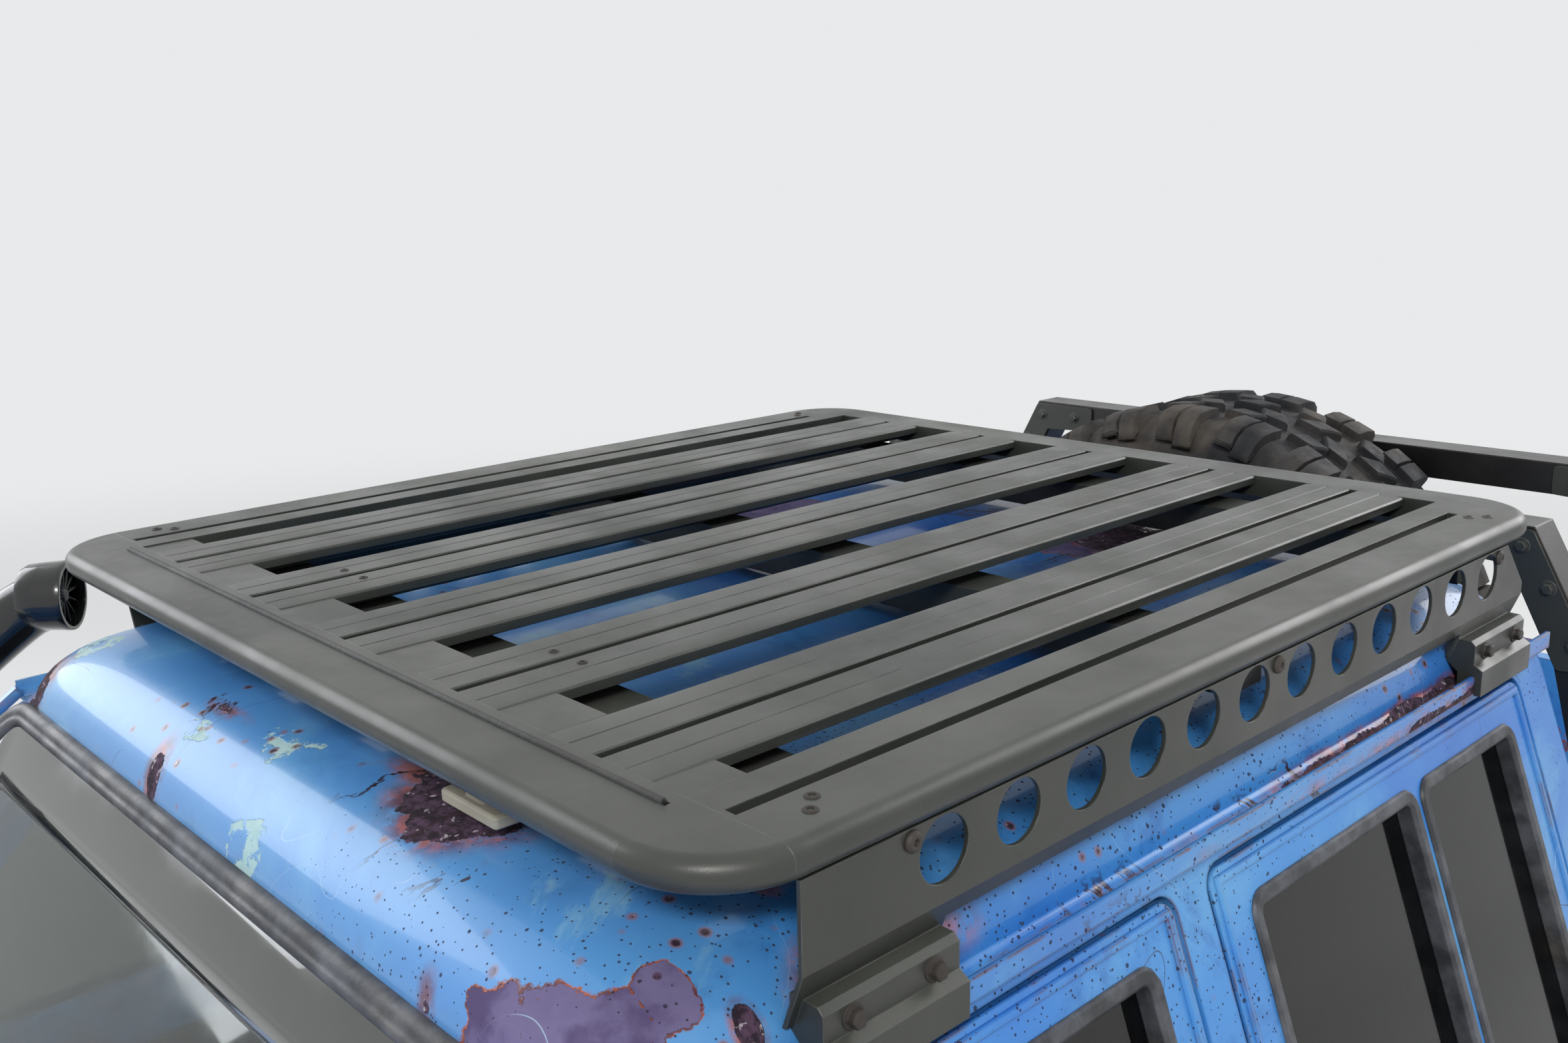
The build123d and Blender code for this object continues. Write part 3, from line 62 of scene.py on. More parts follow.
def rgb(r, g, b):
    """A colour written as 0 to 255 screen values, as the linear values that a shader takes."""
    def linear(c):
        return c / 255 / 12.92 if c <= 10 else ((c / 255 + 0.055) / 1.055) ** 2.4
    return (linear(r), linear(g), linear(b), 1.0)


# Materials: one small class that adds shader nodes and wires them
class Shader:
    def __init__(self, name, **values):
        self.material = bpy.data.materials.new(name)
        self.material.use_nodes = True
        self.tree = self.material.node_tree
        self.tree.nodes.clear()
        output = self.tree.nodes.new("ShaderNodeOutputMaterial")
        self.surface = self.tree.nodes.new("ShaderNodeBsdfPrincipled")
        self.tree.links.new(self.surface.outputs[0], output.inputs[0])
        self.place = self.add("ShaderNodeTexCoord").outputs["Object"]
        for key, value in values.items():
            self.surface.inputs[key.replace("_", " ")].default_value = value

    def add(self, kind, settings=None, **inputs):
        """A new node with its settings, and with its inputs set or linked."""
        node = self.tree.nodes.new(kind)
        for key, value in (settings or {}).items():
            setattr(node, key, value)
        for key, value in inputs.items():
            self.put(node.inputs[key.replace("_", " ")], value)
        return node

    def put(self, socket, value):
        if isinstance(value, bpy.types.NodeSocket):
            self.tree.links.new(value, socket)
        else:
            socket.default_value = value

    def to(self, **inputs):
        """Sets inputs of the surface itself."""
        for key, value in inputs.items():
            self.put(self.surface.inputs[key.replace("_", " ")], value)
        return self

    def stretch(self, x, y, z, shift=(0, 0, 0)):
        """The place with its axes scaled and then moved, so that a texture differs from the others."""
        node = self.add("ShaderNodeMapping", Vector=self.place)
        node.inputs["Scale"].default_value = (x, y, z)
        node.inputs["Location"].default_value = shift
        return node.outputs[0]

    def moved(self, x, y, z):
        return self.stretch(1, 1, 1, (x, y, z))

    def noise(self, scale, detail=4.0, rough=0.55, at=None, bend=0.0):
        node = self.add("ShaderNodeTexNoise", Vector=at or self.place, Scale=scale, Detail=detail)
        node.inputs["Roughness"].default_value = rough
        node.inputs["Distortion"].default_value = bend
        return node.outputs["Fac"]

    def cells(self, scale, at=None):
        """The distance to the middle of the nearest of many scattered cells."""
        return self.add("ShaderNodeTexVoronoi", Vector=at or self.place, Scale=scale).outputs["Distance"]

    def step(self, value, low, high, to_low=0.0, to_high=1.0):
        """A soft step from one value to another while the input runs from low to high."""
        node = self.add("ShaderNodeMapRange", {"interpolation_type": "SMOOTHSTEP"}, Value=value)
        node.inputs["From Min"].default_value = low
        node.inputs["From Max"].default_value = high
        node.inputs["To Min"].default_value = to_low
        node.inputs["To Max"].default_value = to_high
        return node.outputs[0]

    def calc(self, operation, a, b=0.5):
        node = self.add("ShaderNodeMath", {"operation": operation})
        self.put(node.inputs[0], a)
        self.put(node.inputs[1], b)
        return node.outputs[0]

    def times(self, a, b):
        return self.calc("MULTIPLY", a, b)

    def plus(self, a, b):
        return self.calc("ADD", a, b)

    def less(self, a, b):
        return self.calc("SUBTRACT", a, b)

    def most(self, a, b):
        return self.calc("MAXIMUM", a, b)

    def apart(self, operation, a, b=(0, 0, 0)):
        """A vector sum of two places, as its node."""
        node = self.add("ShaderNodeVectorMath", {"operation": operation})
        self.put(node.inputs[0], a)
        self.put(node.inputs[1], b)
        return node

    def mix(self, share, a, b):
        """Colour a where the share is 0 and colour b where it is 1."""
        # The mix node has a set of sockets for each data type; 6, 7 and 2 are the colours
        node = self.add("ShaderNodeMix", {"data_type": "RGBA"})
        self.put(node.inputs[0], share)
        self.put(node.inputs[6], a)
        self.put(node.inputs[7], b)
        return node.outputs[2]

    def axis(self, name):
        return self.add("ShaderNodeSeparateXYZ", Vector=self.place).outputs[name]

    def upward(self):
        """1 where the surface looks straight up, -1 where it looks down."""
        geometry = self.add("ShaderNodeNewGeometry")
        return self.add("ShaderNodeSeparateXYZ", Vector=geometry.outputs["Normal"]).outputs["Z"]

    def edges(self, radius=0.004):
        """1 on the edges of the piece, from the difference between its true and its rounded normals."""
        geometry = self.add("ShaderNodeNewGeometry")
        rounded = self.add("ShaderNodeBevel", {"samples": 4}, Radius=radius)
        dot = self.apart("DOT_PRODUCT", geometry.outputs["Normal"], rounded.outputs[0])
        return self.step(dot.outputs["Value"], 0.985, 0.9)

    def bump(self, height, depth, radius=0.0):
        """Relief of a depth in metres, with the edges rounded to a radius."""
        node = self.add("ShaderNodeBump", Height=height, Strength=1.0, Distance=depth)
        if radius:
            rounded = self.add("ShaderNodeBevel", {"samples": 4}, Radius=radius)
            self.put(node.inputs["Normal"], rounded.outputs[0])
        self.put(self.surface.inputs["Normal"], node.outputs[0])
        return self


def patina_paint():
    """Old blue paint: clouded, scraped to a pale undercoat, speckled, with crusts of rust and bare primer."""
    s = Shader("patina_paint", Specular_IOR_Level=0.4, Coat_Roughness=0.07)
    wander = s.times(s.less(s.noise(13, 8, 0.68), 0.5), 1.6)
    facets = s.less(s.cells(11, at=s.moved(3, 3, 3)), 0.42)
    wander = s.plus(wander, s.times(facets, 0.9))

    def near(rows, share=1.0):
        """Under 1 inside any of the places (x, y, z, reach along each axis), with a ragged border."""
        least = None
        for x, y, z, rx, ry, rz in rows:
            shift = s.apart("SUBTRACT", s.place, (x, y, z)).outputs[0]
            scaled = s.apart("DIVIDE", shift, (rx, ry, rz)).outputs[0]
            length = s.apart("LENGTH", scaled).outputs["Value"]
            least = length if least is None else s.calc("MINIMUM", least, length)
        return s.plus(least, s.times(wander, share))

    # Blue in large clouds, paler where it has chalked; the roof's front brow gets a painted highlight, so the
    # flat behind it reads deeper
    tone = s.mix(s.step(s.noise(1.1, 4, 0.6), 0.38, 0.62), rgb(36, 108, 204), rgb(72, 148, 220))
    tone = s.mix(s.step(s.noise(3.7, 6, 0.62, bend=0.5), 0.46, 0.66, 0, 0.75), tone, rgb(104, 172, 224))
    tone = s.mix(s.step(s.noise(8.5, 8, 0.7, bend=0.3), 0.54, 0.70, 0, 0.8), tone, rgb(42, 108, 184))
    chalk = s.step(s.noise(2.3, 9, 0.7, at=s.moved(6, 2, 9), bend=0.4), 0.60, 0.66, 0, 0.7)
    tone = s.mix(chalk, tone, rgb(138, 188, 212))
    # Painted highlight: a paler blue mixed over the roof's front brow, where the light falls on it
    brow_highlight = s.times(s.step(s.axis("Y"), -0.42, -0.60), s.step(s.axis("Z"), 1.90, 1.94))
    tone = s.mix(s.times(brow_highlight, 0.40), tone, rgb(122, 182, 222))
    # Scrapes down to a pale undercoat
    pale_rows = ((-0.008, -0.560, 2.005, 0.066, 0.028, 0.05), (0.060, -0.632, 1.965, 0.034, 0.020, 0.03),
                 (-0.110, -0.588, 1.998, 0.046, 0.018, 0.03), (-0.500, -0.560, 2.000, 0.050, 0.030, 0.03),
                 (0.840, -0.300, 1.180, 0.10, 0.09, 0.03), (-0.840, 0.35, 1.02, 0.10, 0.12, 0.04),
                 (0.3, -1.7, 1.42, 0.12, 0.05, 0.05))
    scraped = s.step(near(pale_rows, 1.2), 1.05, 0.98)
    flakes = s.step(s.noise(7.5, 9, 0.72, at=s.moved(1, 8, 3)), 0.685, 0.70)
    scraped = s.times(s.most(scraped, flakes), s.step(s.noise(45, 4, 0.6), 0.42, 0.52))
    tone = s.mix(scraped, tone, s.mix(s.noise(60, 4), rgb(150, 196, 204), rgb(196, 220, 218)))
    # Bare primer in angular flakes with a rusty rim
    primer_rows = ((0.452, -0.632, 1.965, 0.044, 0.040, 0.05), (0.500, -0.600, 1.975, 0.052, 0.040, 0.05),
                   (0.468, -0.588, 1.980, 0.030, 0.020, 0.04), (0.530, -0.548, 1.985, 0.034, 0.020, 0.05),
                   (-0.35, 0.30, 2.03, 0.11, 0.16, 0.1), (0.845, 0.42, 1.13, 0.05, 0.13, 0.10),
                   (-0.845, -0.62, 1.05, 0.05, 0.15, 0.09), (-0.30, -1.35, 1.45, 0.17, 0.12, 0.1),
                   (0.845, 1.95, 1.10, 0.05, 0.12, 0.10), (-0.845, 2.0, 1.3, 0.05, 0.10, 0.07),
                   (0.2, 2.33, 1.26, 0.2, 0.05, 0.05))
    primer_place = near(primer_rows, 1.35)
    primer_cloud = s.noise(1.7, 8, 0.62, at=s.moved(4.1, 2.2, 7.3), bend=0.4)
    primer = s.most(s.step(primer_place, 1.0, 0.97), s.step(primer_cloud, 0.668, 0.674))
    rim = s.most(s.step(primer_place, 1.09, 1.01), s.step(primer_cloud, 0.662, 0.668))
    # Rust: crusts with a dark heart and an orange fringe, which runs down below them
    crust_rows = ((0.240, -0.526, 2.015, 0.070, 0.038, 0.05), (0.150, -0.514, 2.015, 0.040, 0.016, 0.03),
                  (-0.535, -0.612, 1.965, 0.040, 0.030, 0.04), (-0.157, -0.634, 1.968, 0.018, 0.030, 0.03),
                  (-0.130, -0.560, 2.008, 0.044, 0.010, 0.03), (0.583, -0.515, 1.985, 0.016, 0.010, 0.02),
                  (0.585, -0.390, 1.985, 0.025, 0.060, 0.03), (0.470, -0.430, 2.015, 0.030, 0.012, 0.03),
                  (0.372, -0.632, 1.960, 0.014, 0.012, 0.02), (0.600, 0.400, 1.940, 0.03, 0.30, 0.012),
                  (-0.600, -0.1, 1.940, 0.03, 0.35, 0.010), (0.845, 2.20, 0.86, 0.05, 0.10, 0.09),
                  (-0.845, 0.85, 0.84, 0.05, 0.12, 0.06), (0.845, -0.98, 0.86, 0.05, 0.06, 0.10),
                  (0.845, 0.72, 0.90, 0.05, 0.10, 0.10), (-0.845, -0.05, 0.9, 0.05, 0.08, 0.09),
                  (0.52, -2.1, 1.34, 0.10, 0.10, 0.05), (0.05, -1.9, 1.41, 0.06, 0.09, 0.05),
                  (0.1, 0.55, 2.03, 0.12, 0.08, 0.05))
    crust_place = near(crust_rows, 1.1)
    crust_cloud = s.noise(2.1, 9, 0.7, at=s.moved(9.0, 1.0, 3.0), bend=0.5)
    crust = s.most(s.step(crust_place, 1.0, 0.95), s.step(crust_cloud, 0.690, 0.700))
    fringe = s.most(s.step(crust_place, 1.75, 1.0), s.step(crust_cloud, 0.640, 0.695))
    fringe = s.times(fringe, s.step(s.noise(26, 7, 0.7), 0.36, 0.58))
    # Thin branching cracks round the crusts, where a wave lies between two close values
    wave = s.noise(3.2, 7, 0.62, at=s.stretch(1.0, 0.35, 0.7, (2, 2, 2)), bend=0.6)
    branch = s.times(s.step(wave, 0.500, 0.503), s.step(wave, 0.512, 0.508))
    branch = s.times(branch, s.most(s.step(crust_place, 2.6, 1.6), s.step(s.noise(2.4, 3), 0.60, 0.66)))
    # Chips in patches with a halo of rust, and specks, more of them on the left side
    chip, patch = s.cells(34), s.step(s.noise(3.1, 3), 0.52, 0.60)
    chips = s.times(s.step(chip, 0.15, 0.09), patch)
    halo = s.times(s.step(chip, 0.24, 0.12, 0, 0.7), patch)
    speck_field = s.step(s.noise(2.2, 5, 0.6, at=s.moved(0.4, 3, 5)), 0.36, 0.60, 0.15, 1.0)
    left_side = s.step(s.axis("X"), 0.05, 0.45, 0.25, 1.0)
    speck_share = s.times(speck_field, left_side)
    specks = s.step(s.less(s.cells(150), s.times(speck_share, 0.17)), 0.03, 0.0)
    sparse = s.cells(62, at=s.moved(7, 7, 7))
    dots = s.step(s.less(sparse, s.times(speck_share, 0.12)), 0.02, 0.0)
    specks = s.most(specks, dots)
    # Colours of the rust, its dark heart and the primer, laid one over the other
    rusty = s.mix(s.step(s.noise(40, 6, 0.7), 0.42, 0.60), rgb(112, 48, 26), rgb(184, 92, 42))
    heart = s.mix(s.step(s.noise(85, 5, 0.7), 0.42, 0.62), rgb(38, 26, 38), rgb(88, 66, 88))
    heart = s.mix(s.step(s.noise(120, 3), 0.62, 0.68), heart, rgb(176, 168, 176))
    bare = s.mix(s.noise(34, 7, 0.65), rgb(96, 88, 128), rgb(126, 116, 156))
    bare = s.mix(s.step(s.noise(14, 5), 0.45, 0.6), bare, rgb(84, 72, 112))
    tone = s.mix(s.times(fringe, 0.85), tone, rusty)
    tone = s.mix(halo, tone, rgb(150, 92, 66))
    tone = s.mix(rim, tone, rusty)
    tone = s.mix(primer, tone, bare)
    tone = s.mix(s.most(crust, chips), tone, heart)
    tone = s.mix(branch, tone, rgb(58, 36, 40))
    tone = s.mix(s.times(specks, 0.85), tone, rgb(46, 40, 54))
    # Streaks that run down the upright panels
    streak = s.step(s.noise(9, 5, 0.6, at=s.stretch(1, 1, 0.10)), 0.64, 0.74, 0, 0.6)
    upright = s.step(s.upward(), 0.5, 0.1)
    streak = s.times(streak, s.times(s.step(s.noise(2.2, 2), 0.5, 0.6), upright))
    tone = s.mix(streak, tone, rgb(122, 78, 56))
    # Fine dark and pale scratches that curve over the panels
    # Columns: scale, shift, half width of a line, colour
    dark_lines = (2.1, (1, 5, 2), 0.0016, rgb(46, 66, 104))
    pale_lines = (3.3, (8, 1, 4), 0.0006, rgb(170, 200, 220))
    for scale, shift, low, colour in (dark_lines, pale_lines):
        wave = s.noise(scale, 2, 0.4, at=s.moved(*shift), bend=1.5)
        line = s.step(s.calc("ABSOLUTE", s.less(wave, 0.5)), low, low * 0.4)
        line = s.times(line, s.step(s.noise(5, 3, at=s.moved(*shift)), 0.50, 0.56, 0, 0.8))
        tone = s.mix(line, tone, colour)
    # Worn edges, then road dust low down
    tone = s.mix(s.times(s.edges(0.005), s.step(s.noise(14, 5), 0.47, 0.6)), tone, rgb(104, 66, 54))
    low = s.times(s.step(s.axis("Z"), 1.15, 0.8), s.step(s.noise(5, 6), 0.3, 0.7, 0.3, 0.75))
    tone = s.mix(low, tone, rgb(118, 106, 92))
    bared = s.most(s.most(crust, s.times(primer, 0.85)), s.most(specks, low))
    rough = s.plus(s.step(bared, 0, 1, 0.34, 0.9), s.times(s.most(chalk, scraped), 0.2))
    gloss = s.step(s.most(bared, scraped), 0, 1, 0.42, 0.0)
    # Relief: rough crusts stand up, and bared places, cracks and specks lie lower than the paint
    sunk = s.times(s.most(primer, scraped), 0.35)
    height = s.less(s.times(s.noise(90, 5, 0.7), crust), sunk)
    height = s.plus(height, s.times(s.noise(1.6, 2), 1.2))
    height = s.less(height, s.times(s.most(branch, specks), 0.25))
    s.to(Base_Color=tone, Roughness=rough, Coat_Weight=gloss)
    return s.bump(height, 0.0016, 0.005).material


def coated(name, dark, light, rough, grain, dust, edge, grain_depth, radius, coat=0.0):
    """Painted or moulded surfaces: fine grain, dust and a painted sky reflection on upward faces, paler
    edges.
    """
    s = Shader(name, Coat_Weight=coat, Coat_Roughness=0.08)
    tone = s.mix(s.step(s.noise(4, 5), 0.35, 0.7), dark, light)
    # Upward faces turn a pale olive grey: partly dust, partly a painted reflection of the bright sky on their
    # tops
    top = s.times(s.step(s.upward(), 0.3, 1.0), s.step(s.noise(3.2, 7, 0.65), 0.35, 0.75, 0.1, 1.0))
    tone = s.mix(s.times(top, dust), tone, rgb(120, 122, 112))
    tone = s.mix(s.times(s.edges(radius), s.step(s.noise(20, 4), 0.40, 0.62, 0.15, 0.8)), tone, edge)
    smudge = s.step(s.noise(7, 6, 0.6), 0.3, 0.75, rough - 0.08, rough + 0.14)
    s.to(Base_Color=tone, Roughness=smudge)
    return s.bump(s.noise(grain, 2), grain_depth, radius).material


def worn_metal(name, base, other, rust_share, rough, metallic):
    """Bare or thinly painted steel with rust blooms and grime."""
    s = Shader(name)
    tone = s.mix(s.step(s.noise(11, 5), 0.35, 0.65), base, other)
    rust = s.step(s.noise(9, 8, 0.7, bend=0.4), 0.72 - rust_share * 0.3, 0.78 - rust_share * 0.3)
    tone = s.mix(rust, tone, s.mix(s.noise(60, 4), rgb(70, 40, 30), rgb(134, 76, 44)))
    grime = s.step(s.noise(4, 6), 0.4, 0.7, 0.0, 0.6)
    tone = s.mix(grime, tone, rgb(62, 56, 48))
    cover = s.most(rust, grime)
    shine = s.times(s.less(1.0, cover), metallic)
    dull = s.step(cover, 0, 1, rough, 0.9)
    s.to(Base_Color=tone, Metallic=shine, Roughness=dull)
    return s.bump(s.noise(120, 6, 0.7), 0.0004, 0.003).material


def tyre_rubber():
    s = Shader("tyre_rubber", Specular_IOR_Level=0.3)
    tone = s.mix(s.step(s.noise(12, 6), 0.3, 0.7), rgb(34, 35, 38), rgb(54, 55, 58))
    dust = s.times(s.step(s.noise(6, 7, 0.65), 0.42, 0.72), 0.45)
    tone = s.mix(dust, tone, rgb(112, 100, 84))
    rough = s.step(s.noise(30, 4), 0.3, 0.7, 0.62, 0.85)
    return s.to(Base_Color=tone, Roughness=rough).bump(s.noise(420, 3), 0.0003, 0.002).material


def seal_rubber():
    s = Shader("seal_rubber", Specular_IOR_Level=0.35)
    tone = s.mix(s.step(s.noise(26, 6), 0.35, 0.7), rgb(52, 54, 58), rgb(92, 95, 102))
    tone = s.mix(s.step(s.noise(5, 7, 0.7), 0.52, 0.68, 0, 0.5), tone, rgb(112, 106, 98))
    height = s.plus(s.noise(300, 3), s.times(s.noise(24, 5), 1.5))
    rough = s.step(s.noise(18), 0.3, 0.7, 0.30, 0.52)
    return s.to(Base_Color=tone, Roughness=rough).bump(height, 0.00025, 0.003).material


def glass(name, tint):
    """Clear or tinted glass with a thin film of dust and water marks."""
    rough, dust = 0.02, 0.12
    s = Shader(name, Transmission_Weight=1.0, IOR=1.48)
    film = s.step(s.noise(5, 7, 0.65), 0.4, 0.8, 0.0, dust)
    film = s.plus(film, s.times(s.step(s.cells(140), 0.16, 0.08), dust * 0.4))
    tone = s.mix(film, tint, rgb(150, 146, 134))
    return s.to(Base_Color=tone, Roughness=s.plus(film, rough)).material


def lamp_lens(name, tint, back):
    """A ribbed lens over a reflector: fine upright flutes."""
    s = Shader(name, IOR=1.5, Coat_Weight=1.0, Coat_Roughness=0.05)
    flute = s.calc("SINE", s.times(s.axis("X"), 520.0))
    tone = s.mix(s.step(flute, -1, 1), tint, back)
    tone = s.mix(s.step(s.noise(9, 6), 0.45, 0.75, 0, 0.35), tone, rgb(126, 118, 104))
    rough = s.step(s.noise(12), 0.3, 0.7, 0.08, 0.25)
    return s.to(Base_Color=tone, Metallic=0.35, Roughness=rough).bump(flute, 0.0006).material


def seat_cloth():
    """Grey cloth with a fine weave along two slanting directions."""
    s = Shader("seat_cloth", Sheen_Weight=0.35, Sheen_Roughness=0.5)
    weave_turns = 1500.0
    across = s.calc("SINE", s.times(s.plus(s.axis("X"), s.axis("Z")), weave_turns))
    along = s.calc("SINE", s.times(s.plus(s.axis("X"), s.axis("Y")), weave_turns))
    weave = s.times(across, along)
    tone = s.mix(s.step(weave, -1, 1), rgb(42, 43, 47), rgb(82, 84, 90))
    tone = s.mix(s.step(s.noise(4, 6), 0.45, 0.75, 0, 0.5), tone, rgb(104, 98, 90))
    return s.to(Base_Color=tone, Roughness=0.85).bump(s.plus(weave, s.noise(250, 3)), 0.0005).material


def tinted_edge():
    """The dark printed band at the windscreen's edge, under its glass."""
    s = Shader("screen_edge", Coat_Weight=1.0, Coat_Roughness=0.02)
    tone = s.mix(s.noise(6, 5), rgb(30, 33, 31), rgb(58, 62, 58))
    rough = s.step(s.noise(9, 6), 0.4, 0.8, 0.06, 0.25)
    return s.to(Base_Color=tone, Roughness=rough).bump(s.noise(3, 2), 0.0002).material


# Columns of coated: name, dark, light, roughness, grain, dust with painted sky reflection on upward faces,
# edge, grain depth, edge radius, gloss coat
# Columns of worn_metal: name, base, other, share of rust, roughness, metallic
paints = {
    "edge": tinted_edge(),
    "patina": patina_paint(),
    "powder": coated("powder_coat", rgb(46, 49, 46), rgb(60, 62, 58), 0.34, 900, 0.22, rgb(112, 114, 112),
        0.0001, 0.0015),
    "black": coated("black_paint", rgb(20, 20, 21), rgb(32, 31, 31), 0.38, 500, 0.22, rgb(84, 70, 60), 0.0002,
        0.004, 0.15),
    "plastic": coated("black_plastic", rgb(28, 28, 29), rgb(44, 44, 45), 0.58, 350, 0.30, rgb(80, 80, 80),
        0.0005, 0.003),
    "gloss": coated("black_gloss", rgb(9, 10, 12), rgb(16, 17, 19), 0.20, 120, 0.10, rgb(60, 62, 66), 0.0001,
        0.002, 0.5),
    "chassis": worn_metal("chassis_paint", rgb(34, 33, 33), rgb(52, 50, 48), 0.25, 0.6, 0.2),
    "cast": worn_metal("cast_parts", rgb(74, 72, 70), rgb(98, 94, 90), 0.45, 0.6, 0.5),
    "spring": worn_metal("spring_steel", rgb(52, 50, 50), rgb(84, 80, 78), 0.35, 0.5, 0.6),
    "exhaust": worn_metal("exhaust_steel", rgb(128, 116, 104), rgb(154, 140, 122), 0.5, 0.4, 0.9),
    "wheel": coated("wheel_paint", rgb(22, 22, 24), rgb(38, 38, 40), 0.36, 400, 0.35, rgb(96, 78, 66), 0.0002,
        0.003, 0.1),
    "tyre": tyre_rubber(),
    "seal": seal_rubber(),
    "clear": glass("clear_glass", rgb(214, 226, 222)),
    "dark": glass("dark_glass", rgb(58, 60, 58)),
    "lens": lamp_lens("lamp_glass", rgb(196, 202, 206), rgb(232, 236, 238)),
    "red": lamp_lens("red_lens", rgb(120, 12, 14), rgb(168, 26, 24)),
    "cloth": seat_cloth(),
    "mirror": worn_metal("mirror_silver", rgb(216, 220, 224), rgb(204, 208, 212), 0.0, 0.04, 1.0),
    "amber": lamp_lens("amber_lens", rgb(196, 96, 10), rgb(232, 132, 24)),
    "pale": coated("pale_pad", rgb(150, 146, 132), rgb(186, 182, 166), 0.7, 300, 0.2, rgb(200, 196, 182),
        0.0003, 0.002),
}
paint_of = {
    "patina_paint": "patina", "black_paint": "black", "powder_coat": "powder", "chassis_paint": "chassis",
    "cast_parts": "cast", "spring_steel": "spring", "exhaust_steel": "exhaust", "wheel_paint": "wheel",
    "tyre_rubber": "tyre", "seal_rubber": "seal", "clear_glass": "clear", "dark_glass": "dark",
    "black_gloss": "gloss", "black_plastic": "plastic", "lamp_glass": "lens", "red_lens": "red",
    "seat_cover": "cloth",
}
for row in frame["record"]["subparts"]:
    item = nodes[row["node"]]
    item.data.materials.clear()
    item.data.materials.append(paints[paint_of[row["material_slot"]]])
# Pieces: one small class that collects faces and makes an object of them
slot_of = {paint: slot for slot, paint in paint_of.items()}
slot_of.update({"pale": "black_plastic", "mirror": "black_gloss", "amber": "red_lens", "edge": "black_gloss"})


def corner_arcs(points, radius, steps=4):
    """A closed outline with its corners rounded."""
    made = []
    count = len(points)
    for i in range(count):
        here = Vector(points[i])
        before = (Vector(points[i - 1]) - here).normalized()
        after = (Vector(points[(i + 1) % count]) - here).normalized()
        half = before.angle(after) / 2
        reach = radius / math.tan(half)
        centre = here + (before + after).normalized() * radius / math.sin(half)
        start, end = here + before * reach - centre, here + after * reach - centre
        for step in range(steps + 1):
            blend = start.lerp(end, step / steps)
            made.append(centre + blend.normalized() * radius)
    return made


def grown(outline, distance):
    """The outline moved out square to itself; it runs anticlockwise, and a negative distance draws it in."""
    made = []
    count = len(outline)
    for i in range(count):
        back = Vector(outline[i]) - Vector(outline[i - 1])
        ahead = Vector(outline[(i + 1) % count]) - Vector(outline[i])
        normal = (Vector((back.y, -back.x)).normalized() + Vector((ahead.y, -ahead.x)).normalized())
        normal.normalize()
        share = max(0.5, normal.dot(Vector((ahead.y, -ahead.x)).normalized()))
        made.append(Vector(outline[i]) + normal * (distance / share))
    return made


def rect(width, height, radius, steps=3):
    x, y = width / 2, height / 2
    return corner_arcs([(-x, -y), (x, -y), (x, y), (-x, y)], radius, steps)


def disc(radius, sides):
    turns = [math.tau * i / sides for i in range(sides)]
    return [Vector((radius * math.cos(a), radius * math.sin(a))) for a in turns]


def facing(place, ahead, up=(0, 0, 1)):
    """A frame at a place whose local Z looks ahead and whose local Y is as near up as can be."""
    z = Vector(ahead).normalized()
    x = Vector(up).cross(z)
    if x.length < 0.001:
        x = Vector((1, 0, 0)).cross(z) if abs(z.x) < 0.9 else Vector((0, 1, 0)).cross(z)
    x.normalize()
    y = z.cross(x)
    return Matrix.Translation(Vector(place)) @ Matrix((x, y, z)).transposed().to_4x4()


